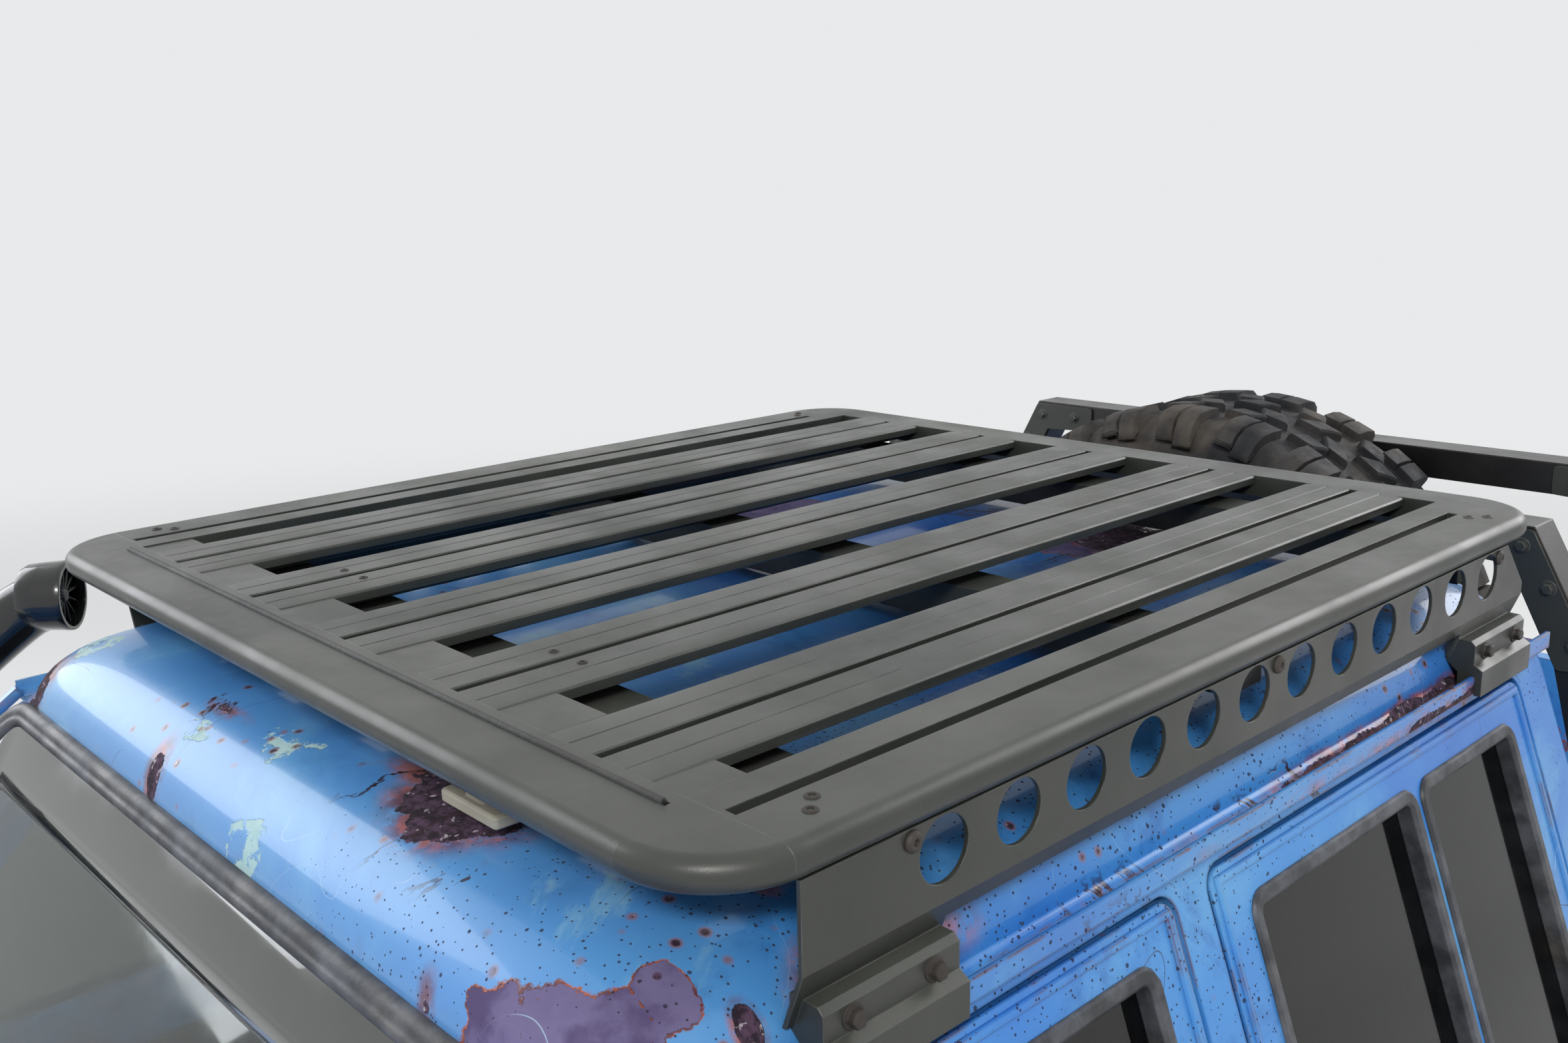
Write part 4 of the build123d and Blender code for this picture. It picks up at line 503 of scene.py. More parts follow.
class Piece:
    def __init__(self):
        self.mesh = bmesh.new()

    def rings(self, rows, around=False):
        """Skins a row of closed rings that have the same count of points, capped unless it goes around."""
        made = [[self.mesh.verts.new(p) for p in row] for row in rows]
        pairs = list(zip(made, made[1:])) + ([(made[-1], made[0])] if around else [])
        for a, b in pairs:
            for i in range(len(a)):
                j = (i + 1) % len(a)
                self.mesh.faces.new((a[i], a[j], b[j], b[i]))
        if not around:
            self.mesh.faces.new(made[0][::-1])
            self.mesh.faces.new(made[-1])
        return self

    def slab(self, frame, outline, depth, edge=0.001, back=None):
        """An outline drawn out along the frame's local Z, with its rims eased."""
        back_edge = edge if back is None else back
        rows = [(back_edge, 0), (0, back_edge), (0, depth - edge), (edge, depth)]
        made = []
        for inset, z in rows:
            made.append([frame @ Vector((p.x, p.y, z)) for p in grown(outline, -inset)])
        return self.rings(made)

    def block(self, centre, size, radius=0.004, edge=0.002, frame=None):
        """A box with rounded corners; its size runs along the frame's axes."""
        frame = frame or Matrix.Translation(Vector(centre))
        low = frame @ Matrix.Translation((0, 0, -size[2] / 2))
        return self.slab(low, rect(size[0], size[1], radius), size[2], edge)

    def turned(self, frame, profile, sides=32, around=False):
        """A profile of (local Z, radius) pairs turned round the frame's local Z."""
        rows = []
        for z, radius in profile:
            rows.append([frame @ Vector((p.x, p.y, z)) for p in disc(max(radius, 0.0001), sides)])
        return self.rings(rows, around=around)

    def hoop(self, place, ahead, inner, outer, half, sides):
        """A flat hollow band round a place, reaching half its width to each side."""
        profile = [(-half, inner), (-half, outer), (half, outer), (half, inner)]
        return self.turned(facing(place, ahead), profile, sides, True)

    def rod(self, start, end, radius, sides=16):
        """A round bar with eased rims, from a start to an end."""
        edge = 0.001
        length = (Vector(end) - Vector(start)).length
        profile = [(0, radius - edge), (edge, radius), (length - edge, radius), (length, radius - edge)]
        return self.turned(facing(start, Vector(end) - Vector(start)), profile, sides)

    def bolt(self, place, ahead, width, height=None, washer=True):
        """A hexagon head on a washer."""
        frame = facing(place, ahead)
        height = height or width * 0.4
        if washer:
            self.slab(frame, disc(width * 0.78, 20), width * 0.12, width * 0.03, 0)
        base = frame @ Matrix.Translation((0, 0, width * 0.1))
        return self.slab(base, disc(width * 0.56, 6), height, width * 0.07, 0)

    def pipe(self, points, radius, sides=12, around=False):
        """A round bar through a row of points, with its frame carried along without twist."""
        points = [Vector(p) for p in points]
        count = len(points)
        rows = []
        side = None
        for i, here in enumerate(points):
            before = points[i - 1] if (i or around) else here
            after = points[(i + 1) % count] if (i + 1 < count or around) else here
            ahead = (after - before).normalized()
            if side is None:
                side = ahead.orthogonal().normalized()
            side = (side - ahead * side.dot(ahead)).normalized()
            other = ahead.cross(side)
            turns = [math.tau * k / sides for k in range(sides)]
            rows.append([here + (side * math.cos(a) + other * math.sin(a)) * radius for a in turns])
        return self.rings(rows, around=around)

    def band(self, outline, lift, section, around=True):
        """A section of (outward from the line, up from the surface) pairs carried along an outline."""
        lines = [grown(outline, out) for out, up in section]
        rows = []
        for i in range(len(outline)):
            rows.append([lift(line[i], up) for line, (out, up) in zip(lines, section)])
        return self.rings(rows, around=around)

    def make(self, name, paint, body, angle=38):
        """The finished object on its body; edges sharper than the angle in degrees stay sharp."""
        bmesh.ops.recalc_face_normals(self.mesh, faces=self.mesh.faces)
        for face in self.mesh.faces:
            face.smooth = True
        limit = math.radians(angle)
        for edge in self.mesh.edges:
            edge.smooth = edge.is_manifold and edge.calc_face_angle(0) < limit
        data = bpy.data.meshes.new(name)
        self.mesh.to_mesh(data)
        self.mesh.free()
        data.materials.append(paints[paint])
        item = bpy.data.objects.new(name, data)
        bpy.context.scene.collection.objects.link(item)
        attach(item, body)
        return item


# The body's sides lean in from the belt line up to the gutter
corners = ("front_left", "front_right", "rear_left", "rear_right")
belt_x, belt_z = 0.79, 1.415
gutter_x, gutter_z = 0.60, 1.95
lean = (belt_x - gutter_x) / (gutter_z - belt_z)
side_out = Vector((1, 0, lean)).normalized()
front_axle_y, rear_axle_y, axle_z, track_x = -1.525, 1.325, 0.444, 0.79


def side_of(corner):
    return 1 if corner.endswith("left") else -1


def on_window(side):
    """Lifts a (Y, Z) point on to the leaning window side of the body, and out from it."""
    def lift(point, up):
        x = belt_x - lean * (point[1] - belt_z) + side_out.x * up
        return Vector((side * x, point[0], point[1] + side_out.z * up))
    return lift


# Tyres: a turned carcass and blocks of tread, built once round local X and set in each wheel's place
bore_r = 0.2033
tread_pitches = 24


def tread_block(piece, path, turns, foot_turns):
    """A tread block along a path of (x, outer radius, root radius), between two turns round the axle."""
    rows = []
    for x, outer, root in path:
        a, b = foot_turns
        c, d = turns
        ring = [(root, a), (outer - 0.003, a * 0.15 + c * 0.85), (outer, c), (outer, d)]
        ring += [(outer - 0.003, b * 0.15 + d * 0.85), (root, b)]
        rows.append([Vector((x, r * math.cos(t), r * math.sin(t))) for r, t in ring])
    piece.rings(rows)


def tyre_mesh():
    """The tyre round local X: a carcass, then shoulder lugs, centre blocks and scuff ribs of each pitch."""
    piece = Piece()
    # The outline of one half as (x, radius), from the bead out over the sidewall to the crown
    half = [(0.098, bore_r), (0.101, 0.212), (0.104, 0.222), (0.111, 0.229), (0.117, 0.233), (0.121, 0.241)]
    half += [(0.132, 0.256), (0.1325, 0.261), (0.130, 0.265), (0.146, 0.288), (0.153, 0.310), (0.1565, 0.330)]
    half += [(0.1585, 0.332), (0.159, 0.342), (0.1585, 0.352), (0.1560, 0.354), (0.1545, 0.374),
        (0.150, 0.396)]
    half += [(0.142, 0.412), (0.130, 0.422), (0.110, 0.427), (0.060, 0.429), (0.012, 0.4295)]
    profile = half + [(-x, r) for x, r in reversed(half)]
    turned = Matrix(((0, 0, 1), (1, 0, 0), (0, 1, 0))).to_4x4()
    piece.turned(turned, profile, 96, around=True)
    step = math.tau / tread_pitches
    for half_side in (-1, 1):
        start = 0 if half_side > 0 else step / 2
        for number in range(tread_pitches):
            base = start + number * step - math.pi / 2
            long_one = number % 2 == 0
            # Shoulder lug, which runs over the edge and down the sidewall, split by a slot
            for a, b, drop in ((-0.30, -0.02, 0.0), (0.03, 0.28, 0.01)):
                low = (0.388 if long_one else 0.400) + drop
                path = [(0.078, 0.4425, 0.426), (0.108, 0.4435, 0.424), (0.134, 0.4395, 0.418)]
                path += [(0.149, 0.428, 0.404), (0.1575, 0.408, low), (0.158, low + 0.004, low - 0.006)]
                wide = (base + a * step, base + b * step)
                foot = (base + (a - 0.03) * step, base + (b + 0.03) * step)
                tread_block(piece, [(half_side * x, o, r) for x, o, r in path], wide, foot)
            # Two centre blocks, skewed and stepped
            for a, b, x0, x1, skew in ((-0.36, 0.02, 0.006, 0.040, 0.10), (-0.10, 0.30, 0.044, 0.071, -0.06)):
                rows = []
                for x, shift in ((x0, skew), ((x0 + x1) / 2, 0.0), (x1, -skew)):
                    c, d = base + (a + shift + 0.25) * step, base + (b + shift + 0.25) * step
                    ring = [(0.426, c - 0.02 * step), (0.440, c), (0.443, c + 0.03 * step)]
                    ring += [(0.443, d - 0.03 * step), (0.440, d), (0.426, d + 0.02 * step)]
                    rows.append([Vector((half_side * x, r * math.cos(t), r * math.sin(t))) for r, t in ring])
                piece.rings(rows)
            # Scuff ribs on the sidewall
            for share in (0.0, 0.25, 0.5, 0.75):
                turn = base + share * step
                radial = Vector((0, math.cos(turn), math.sin(turn)))
                spot = facing(radial * 0.364 + Vector((half_side * 0.1575, 0, 0)), (half_side, 0, 0), radial)
                piece.slab(spot, rect(0.007, 0.018, 0.002, 1), 0.0025, 0.0008, 0)
    return piece


# Columns: wheel, centre, the way it faces, body
wheel_rows = []
for corner in corners:
    axle_y = front_axle_y if corner.startswith("front") else rear_axle_y
    centre = Vector((side_of(corner) * track_x, axle_y, axle_z))
    wheel_rows.append((corner, centre, Vector((side_of(corner), 0, 0)), "wheel_" + corner))
spare_centre = Vector((-0.04, 1.125, 1.695))
wheel_rows.append(("spare", spare_centre, Vector((0, -1, 0)), "chassis"))
first_tyre = None
for corner, centre, outward, body in wheel_rows:
    axes = Matrix((outward, Vector((0, 0, 1)).cross(outward), (0, 0, 1))).transposed().to_4x4()
    place = Matrix.Translation(centre) @ axes
    if first_tyre is None:
        item = tyre_mesh().make("tread_" + corner, "tyre", body, 30)
        first_tyre = item.data
    else:
        item = bpy.data.objects.new("tread_" + corner, first_tyre)
        bpy.context.scene.collection.objects.link(item)
        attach(item, body)
    item.matrix_world = place
    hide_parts("tyre_" + corner)

# Wheel fittings: nuts, hub cap and valve; the nuts stand on the rim's pad, inward of the wheel's centre
nut_circle, nut_count, pad_out = 0.066, 6, -0.0417
up = Vector((0, 0, 1))
for corner, centre, outward, body in wheel_rows:
    nuts = Piece()
    other = up.cross(outward)
    for number in range(nut_count):
        turn = math.tau * number / nut_count
        place = centre + outward * pad_out + (up * math.cos(turn) + other * math.sin(turn)) * nut_circle
        nuts.turned(facing(place, outward), [(0, 0.0125), (0.004, 0.0125), (0.006, 0.0105)], 20)
        nuts.slab(facing(place + outward * 0.005, outward), disc(0.0105, 6), 0.018, 0.002, 0)
        stud_end = facing(place + outward * 0.022, outward)
        nuts.turned(stud_end, [(0, 0.005), (0.004, 0.005), (0.005, 0.004)], 12)
    if corner == "spare":
        wing = centre + outward * 0.072
        profile = [(0, 0.040), (0.006, 0.040), (0.008, 0.036), (0.012, 0.018), (0.030, 0.016), (0.034, 0.012)]
        nuts.turned(facing(wing, outward), profile, 28)
        for half in (-1, 1):
            nuts.block(wing + outward * 0.024 + up * half * 0.030, (0.030, 0.008, 0.020), 0.003, 0.002)
    nuts.make("wheel_nuts_" + corner, "spring", body)
    cap = Piece()
    if corner != "spare":
        # Hollow, clear of the spindle inside it
        foot, inner_end, inner_r = pad_out + 0.0005, 0.0262, 0.0352
        profile = [(foot, 0.046), (pad_out + 0.004, 0.046), (pad_out + 0.006, 0.041), (0.020, 0.0395)]
        profile += [(0.026, 0.0385), (0.0315, 0.035), (0.0335, 0.028), (0.034, 0.012), (0.034, 0.0005)]
        profile += [(inner_end, 0.0005), (inner_end, inner_r), (foot, inner_r)]
        cap.turned(facing(centre, outward), profile, 40, True)
        for number in range(6):
            turn = math.tau * (number + 0.5) / 6
            spot = centre + outward * 0.0318 + (up * math.cos(turn) + other * math.sin(turn)) * 0.030
            cap.bolt(spot, outward, 0.008, 0.003, False)
        cap.make("hub_cap_" + corner, "wheel", body)
    valve = Piece()
    turn, valve_circle = math.radians(40), 0.170
    rim_place = centre + outward * 0.050 + (up * math.cos(turn) + other * math.sin(turn)) * valve_circle
    valve.rod(rim_place - outward * 0.004, rim_place + outward * 0.030, 0.004, 12)
    valve_cap = facing(rim_place + outward * 0.026, outward)
    valve.turned(valve_cap, [(0, 0.0055), (0.012, 0.0055), (0.013, 0.0045)], 14)
    valve.turned(facing(rim_place, outward), [(-0.004, 0.008), (0.004, 0.007), (0.010, 0.005)], 14)
    valve.make("valve_" + corner, "seal", body)

# Rubbers in the side windows, and a pressed bead round each door's window frame
front_window = [(-0.868, 1.45), (-0.104, 1.45), (-0.104, 1.87), (-0.557, 1.87)]
rear_windows = [[(a, 1.45), (b, 1.45), (b, 1.87), (a, 1.87)] for a, b in ((0.062, 0.388), (0.412, 0.648))]
channel = [(-0.0005, -0.0175), (-0.007, -0.0175), (-0.0085, 0.001), (-0.005, 0.004), (0.0045, 0.004),
    (0.007, 0.0006)]
frame_lines = {
    "front": [(-0.955, 1.425), (-0.920, 1.452), (-0.583, 1.902), (-0.066, 1.902), (-0.066, 1.425)],
    "rear": [(0.016, 1.425), (0.016, 1.902), (0.689, 1.902), (0.689, 1.425)],
}


def open_band(piece, line, lift, width, height):
    """A low pressed ridge along an open line of (Y, Z) points."""
    points = [Vector(p) for p in line]
    rows = []
    for i, here in enumerate(points):
        before = points[max(i - 1, 0)]
        after = points[min(i + 1, len(points) - 1)]
        ahead = (after - before).normalized()
        normal = Vector((-ahead.y, ahead.x)) * width
        section = ((-1, 0), (-0.6, height), (0.6, height), (1, 0), (0, -0.002))
        rows.append([lift(here + normal * share, up) for share, up in section])
    piece.rings(rows)


for corner in corners:
    side = side_of(corner)
    which = corner.split("_")[0]
    rubber = Piece()
    for window in ([front_window] if which == "front" else rear_windows):
        rubber.band(corner_arcs(window, 0.016), on_window(side), channel)
    rubber.make("window_rubber_" + corner, "seal", "door_" + corner)
    bead = Piece()
    open_band(bead, frame_lines[which], on_window(side), 0.006, 0.0035)
    bead.make("frame_bead_" + corner, "patina", "door_" + corner)

# Roof: a crowned skin over the roof's solid, full at its front and sides, with pressed ribs along it
roof_low, roof_top, roof_half = 1.938, 2.036, 0.5965
skin_front, skin_rear, skin_full_front, skin_full_rear = -0.641, 0.786, -0.425, 0.640
rib_half, rib_depth, rib_front, rib_rear, rib_fade = 0.042, 0.0045, -0.36, 0.62, 0.06


def roof_height(u, y):
    """The skin's X and Z at a share u of its half width, at a station along the roof."""
    ahead = max(0.0, (skin_full_front - y) / (skin_full_front - skin_front)) ** 4.2
    behind = max(0.0, (y - skin_full_rear) / (skin_rear - skin_full_rear)) ** 3.0
    left = max(0.0, 1.0 - ahead - behind)
    x = u * roof_half * left ** 0.045
    z = roof_low + (roof_top - roof_low) * (left * (1 - abs(u) ** 8.5)) ** 0.43
    flat = min(1.0, max(0.0, (y - rib_front) / rib_fade)) * min(1.0, max(0.0, (rib_rear - y) / rib_fade))
    for rib in (-0.404, -0.202, 0.0, 0.202, 0.404):
        reach = abs(x - rib)
        if reach < rib_half:
            z -= rib_depth * flat * (0.5 + 0.5 * math.cos(math.pi * reach / rib_half))
    return x, z


skin = Piece()
stations = [skin_front + (skin_full_front - skin_front) * (1 - math.cos(math.pi / 2 * i / 16))
    for i in range(16)]
stations += [skin_full_front + (skin_full_rear - skin_full_front) * i / 22 for i in range(23)]
stations += [skin_full_rear + (skin_rear - skin_full_rear) * math.sin(math.pi / 2 * i / 10)
    for i in range(1, 11)]
shares = [math.copysign(abs(math.sin(math.pi / 2 * i / 48)) ** 0.85, i) for i in range(-48, 49)]
rows = []
for y in stations:
    row = [Vector((x, y, z)) for x, z in (roof_height(u, y) for u in shares)]
    row += [Vector((row[-1].x, y, roof_low - 0.004)), Vector((row[0].x, y, roof_low - 0.004))]
    rows.append(row)
skin.rings(rows)
skin.make("roof_skin", "patina", "chassis", 50)

# Windscreen: a dark band at the glass's edge, and a full rubber round it up to the header
# The glass's middle, its way up along the glass and its way out, square to the glass
screen_place = Vector((0, -0.830, 1.6875))
screen_up, screen_out = Vector((0, 0.58817, 0.80873)), Vector((0, -0.80873, 0.58817))


def on_screen(point, depth):
    """A point (across, up) of the windscreen's plane, moved out from it."""
    return screen_place + Vector((1, 0, 0)) * point[0] + screen_up * point[1] + screen_out * depth


def screen_ring(half_low, low, half_high, high, radius, depth):
    """The windscreen's rounded outline, from its half width and its height at the foot and at the top."""
    points = [(-half_low, low), (half_low, low), (half_high, high), (-half_high, high)]
    return [on_screen(p, depth) for p in corner_arcs(points, radius, 8)]


edge_band = Piece()
edge_band.rings([
    screen_ring(0.6735, -0.2315, 0.5385, 0.2295, 0.034, -0.0097),
    screen_ring(0.6765, -0.2345, 0.5405, 0.2325, 0.036, -0.0060),
    screen_ring(0.7020, -0.2590, 0.5580, 0.2560, 0.052, 0.0012),
    screen_ring(0.7080, -0.2660, 0.5580, 0.3040, 0.048, 0.0030),
    screen_ring(0.7080, -0.2660, 0.5580, 0.3040, 0.048, -0.0020),
    screen_ring(0.7040, -0.2610, 0.5590, 0.2570, 0.054, -0.0030),
    screen_ring(0.7040, -0.2610, 0.5590, 0.2570, 0.054, -0.0220),
    screen_ring(0.6735, -0.2315, 0.5385, 0.2295, 0.034, -0.0220),
], around=True)
edge_band.make("windscreen_edge_band", "edge", "chassis", 50)
rubber = Piece()
# Columns: distance out from the rubber's inner line, height over the body
section = [(0.000, -0.003), (0.0005, 0.0035), (0.003, 0.0070), (0.007, 0.0092), (0.0095, 0.0088),
    (0.0115, 0.0080)]
section += [(0.0135, 0.0090), (0.017, 0.0104), (0.022, 0.0100), (0.026, 0.0074), (0.0285, 0.0040),
    (0.029, -0.006)]
rubber.rings([
    screen_ring(0.7050 + out, -0.2510 - out, 0.5560 + out, 0.3000 + out, 0.046 + out, up)
    for out, up in section
], around=True)
rubber.make("windscreen_rubber", "seal", "chassis", 60)
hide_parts("windscreen_seal")

# Drip rails from the gutters' front ends down the windscreen pillars
for side in (-1, 1):
    rail = Piece()
    line = [(-1.005, 1.452), (-0.985, 1.482), (-0.800, 1.736), (-0.660, 1.928), (-0.632, 1.9505)]
    open_band(rail, line, on_window(side), 0.007, 0.010)
    rail.make("pillar_drip_rail_" + ("left" if side > 0 else "right"), "patina", "chassis", 60)

# Rear window rubber
rear_ring, panel_y = Piece(), 0.790
rear_line = corner_arcs([(-0.5, 1.48), (0.5, 1.48), (0.5, 1.85), (-0.5, 1.85)], 0.050, 8)
section = [(-0.002, -0.020), (-0.018, -0.020), (-0.020, -0.006), (-0.012, 0.004), (0.004, 0.008)]
section += [(0.016, 0.006), (0.020, -0.0005)]
rear_ring.band(rear_line, lambda p, up: Vector((p[0], panel_y + up, p[1])), section)
rear_ring.make("rear_window_rubber", "seal", "chassis", 60)

# Roof platform: extruded planks with one deep slot each and faint drawn lines
rack_top, plank_step = 2.120, 0.202
planks = Piece()
half = [(0.0050, -0.009), (0.0050, -0.0012), (0.0062, 0.0), (0.0338, 0.0), (0.0343, -0.0007),
    (0.0357, -0.0007), (0.0362, 0.0)]
half += [(0.0560, 0.0), (0.0630, -0.0006), (0.0648, -0.0024), (0.0650, -0.0060), (0.0646, -0.0112),
    (0.0636, -0.012)]
half += [(0.0280, -0.012), (0.0276, -0.0252), (0.0268, -0.026)]
plank_ring = [(-x, z) for x, z in half] + [(x, z) for x, z in reversed(half)]
for number in range(5):
    x = (number - 2) * plank_step
    planks.rings([[Vector((x + a, y, rack_top + b)) for a, b in plank_ring] for y in (-0.500, 0.682)])
planks.make("rack_plank_extrusions", "powder", "chassis", 30)
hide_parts("rack_planks")

# Screws on the rack's corners, the wind seal in its groove, and bolts on its feet and plates
fixings = Piece()
for side in (-1, 1):
    for x, y in ((0.569, -0.439), (0.584, -0.455), (0.569, 0.630), (0.584, 0.646)):
        spot = facing((side * x, y, rack_top), (0, 0, 1), (0, 1, 0))
        profile = [(-0.002, 0.0062), (0.0004, 0.0062), (0.0012, 0.0052), (0.0012, 0.0030), (-0.0012, 0.0030)]
        fixings.turned(spot, profile, 20)
    for start, end in ((-0.484, -0.346), (0.546, 0.684)):
        for share in (0.2, 0.8):
            fixings.bolt((side * 0.6215, start + (end - start) * share, 1.983), (side, 0, 0.05), 0.013, 0.008)
    profile = [(0, 0.0085), (0.002, 0.0085), (0.0045, 0.0060), (0.0045, 0.0028), (0.002, 0.0028)]
    for y in (-0.385, 0.115, 0.615):
        fixings.turned(facing((side * 0.612, y, 2.082), (side, 0, 0)), profile, 20)
# Two small screws in the front of the second and the fourth plank
profile = [(-0.001, 0.0050), (0.0004, 0.0050), (0.0009, 0.0042), (0.0009, 0.0024), (-0.0008, 0.0024)]
for plank_x in (-plank_step, plank_step):
    for half_side in (-1, 1):
        spot = facing((plank_x + half_side * 0.022, -0.385, rack_top), (0, 0, 1), (0, 1, 0))
        fixings.turned(spot, profile, 16)
fixings.make("rack_fixings", "spring", "chassis", 40)
strip = Piece()
section = ((-0.0028, -0.004), (-0.0028, 0.0012), (-0.0012, 0.0030), (0.0012, 0.0034), (0.0030, 0.0010))
section += ((0.0028, -0.004),)
stations = (-0.503, -0.25, 0.0, 0.25, 0.503)
strip.rings([[Vector((x, -0.516 + a, rack_top + b)) for a, b in section] for x in stations])
strip.make("rack_wind_seal", "plastic", "chassis", 60)
# Pale pad under the front rail, on its arm
pad = Piece()
pad.block((0.282, -0.514, 2.052), (0.082, 0.056, 0.012), 0.004, 0.002)
pad.block((0.282, -0.524, 2.074), (0.030, 0.022, 0.036), 0.004, 0.002)
pad.make("rack_front_pad", "pale", "chassis")

# Snorkel: one bent tube with a ribbed head, its mouth fins, bands and bracket
mouth_ahead = Vector((math.sin(math.radians(38)), math.cos(math.radians(38)), 0))
mouth = Vector((-0.800, -0.502, 2.002))


def smooth_path(points, steps):
    """Points along a Catmull-Rom line through the given ones."""
    points = [Vector(p) for p in points]
    full = [points[0] * 2 - points[1]] + points + [points[-1] * 2 - points[-2]]
    made = []
    for a, b, c, d in zip(full, full[1:], full[2:], full[3:]):
        for step in range(steps):
            t = step / steps
            square, cube = 2 * a - 5 * b + 4 * c - d, 3 * b - a - 3 * c + d
            made.append(0.5 * (2 * b + (c - a) * t + square * t * t + cube * t ** 3))
    return made + [points[-1]]


tube = Piece()
tube_path = [(-0.890, -1.235, 1.300), (-0.890, -1.175, 1.352), (-0.888, -1.100, 1.430),
    (-0.880, -1.000, 1.565), (-0.871, -0.900, 1.698)]
tube_path += [(-0.864, -0.800, 1.812), (-0.864, -0.700, 1.880), (-0.863, -0.640, 1.918),
    (-0.856, -0.590, 1.955)]
tube_path += [(-0.840, -0.552, 1.984), (-0.818, -0.525, 1.999)]
tube.pipe(smooth_path(tube_path, 5), 0.0400, 32)
# The head, open at its mouth, then two beads round the tube
head = facing(mouth, mouth_ahead)
profile = [(-0.060, 0.0400), (-0.052, 0.0445), (-0.034, 0.0460), (-0.008, 0.0475), (-0.002, 0.0480)]
profile += [(0.0005, 0.0470), (0.0005, 0.0425), (-0.012, 0.0415), (-0.046, 0.0400), (-0.048, 0.0200)]
tube.turned(head, profile, 40)
profile = [(-0.016, 0.0395), (-0.015, 0.0455), (0.015, 0.0455), (0.016, 0.0395)]
tube.turned(facing((-0.890, -1.1305, 1.3905), (0.02, 0.62, 0.78)), profile, 32)
profile = [(-0.005, 0.0395), (-0.004, 0.0425), (0.004, 0.0425), (0.005, 0.0395)]
tube.turned(facing((-0.884, -1.045, 1.503), (0.06, 0.60, 0.80)), profile, 32)
# The body under its foot, eased at every edge, with four screws
tube.block((-0.8675, -1.245, 1.270), (0.043, 0.148, 0.108), 0.012, 0.006)
tube.make("snorkel_tube", "gloss", "chassis", 40)
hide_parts("snorkel")
fins = Piece()
fin_count = 7
for number in range(fin_count):
    turn = Matrix.Rotation(math.pi * number / fin_count, 4, "Z")
    fins.block(None, (0.082, 0.0022, 0.030), 0.001, 0.0006, head @ Matrix.Translation((0, 0, -0.026)) @ turn)
fins.turned(head, [(-0.044, 0.0090), (-0.010, 0.0090), (-0.008, 0.0070)], 20)
fins.make("snorkel_mouth_fins", "plastic", "chassis")
bands = Piece()
bands.hoop((-0.8865, -1.0850, 1.4500), (0.05, 0.60, 0.80), 0.0398, 0.0416, 0.007, 32)
bands.hoop((-0.864, -0.768, 1.838), (0.0, 0.80, 0.60), 0.0398, 0.0416, 0.007, 32)
for y in (-1.300, -1.190):
    for z in (1.235, 1.305):
        bands.bolt((-0.8885, y, z), (-1, 0, 0), 0.010, 0.004)
bands.rod((-0.745, -0.815, 1.790), (-0.836, -0.808, 1.795), 0.007, 16)
bands.block((-0.738, -0.818, 1.790), (0.012, 0.050, 0.036), 0.005, 0.002)
for y in (-0.832, -0.803):
    bands.bolt((-0.744, y, 1.790), (-1, 0, 0), 0.010, 0.004)
bands.make("snorkel_bands", "spring", "chassis")


# Seats: pads blown up as cloth from slightly small forms, then sewn channels pressed in
def pad_rings(rows, width, radius):
    """Rounded sections along a path; each row is (centre, ahead, share of width, thickness)."""
    made = []
    for centre, ahead, share, thick in rows:
        place = facing(centre, ahead, Vector(ahead).cross(Vector((1, 0, 0))))
        outline = rect(width * share, thick, min(radius, thick * 0.45), 5)
        made.append([place @ Vector((p.x, p.y, 0)) for p in outline])
    return made


cloth_frames, channel_width, channel_depth = 20, 0.0055, 0.0055


def blown(piece, name, body, voxel, cap, channels):
    """Swells a closed form with Blender's cloth, caps how far it moves, and presses its channels."""
    item = piece.make(name, "cloth", body, 180)
    bpy.context.view_layer.objects.active = item
    remesh = item.modifiers.new("remesh", "REMESH")
    remesh.mode = "VOXEL"
    remesh.voxel_size = voxel
    bpy.ops.object.modifier_apply(modifier="remesh")
    start = [v.co.copy() for v in item.data.vertices]
    cloth = item.modifiers.new("cloth", "CLOTH")
    cloth.settings.quality = 4
    cloth.settings.use_pressure = True
    cloth.settings.uniform_pressure_force = 4.0
    cloth.settings.tension_stiffness = 25
    cloth.settings.effector_weights.gravity = 0
    cloth.point_cache.frame_start = 1
    cloth.point_cache.frame_end = cloth_frames
    for number in range(1, cloth_frames + 1):
        bpy.context.scene.frame_set(number)
    bpy.ops.object.modifier_apply(modifier="cloth")
    bpy.context.scene.frame_set(1)
    for vertex, first in zip(item.data.vertices, start):
        moved = vertex.co - first
        if moved.length > cap:
            vertex.co = first + moved.normalized() * cap
    finer = item.modifiers.new("finer", "SUBSURF")
    finer.levels = 1
    finer.render_levels = 1
    bpy.ops.object.modifier_apply(modifier="finer")
    normals = [v.normal.copy() for v in item.data.vertices]
    for vertex, normal in zip(item.data.vertices, normals):
        press = sum(math.exp(-(channel(vertex.co) / channel_width) ** 2) for channel in channels)
        vertex.co -= normal * min(press, 1.0) * channel_depth
    for face in item.data.polygons:
        face.use_smooth = True
    return item


bench_width = 0.7


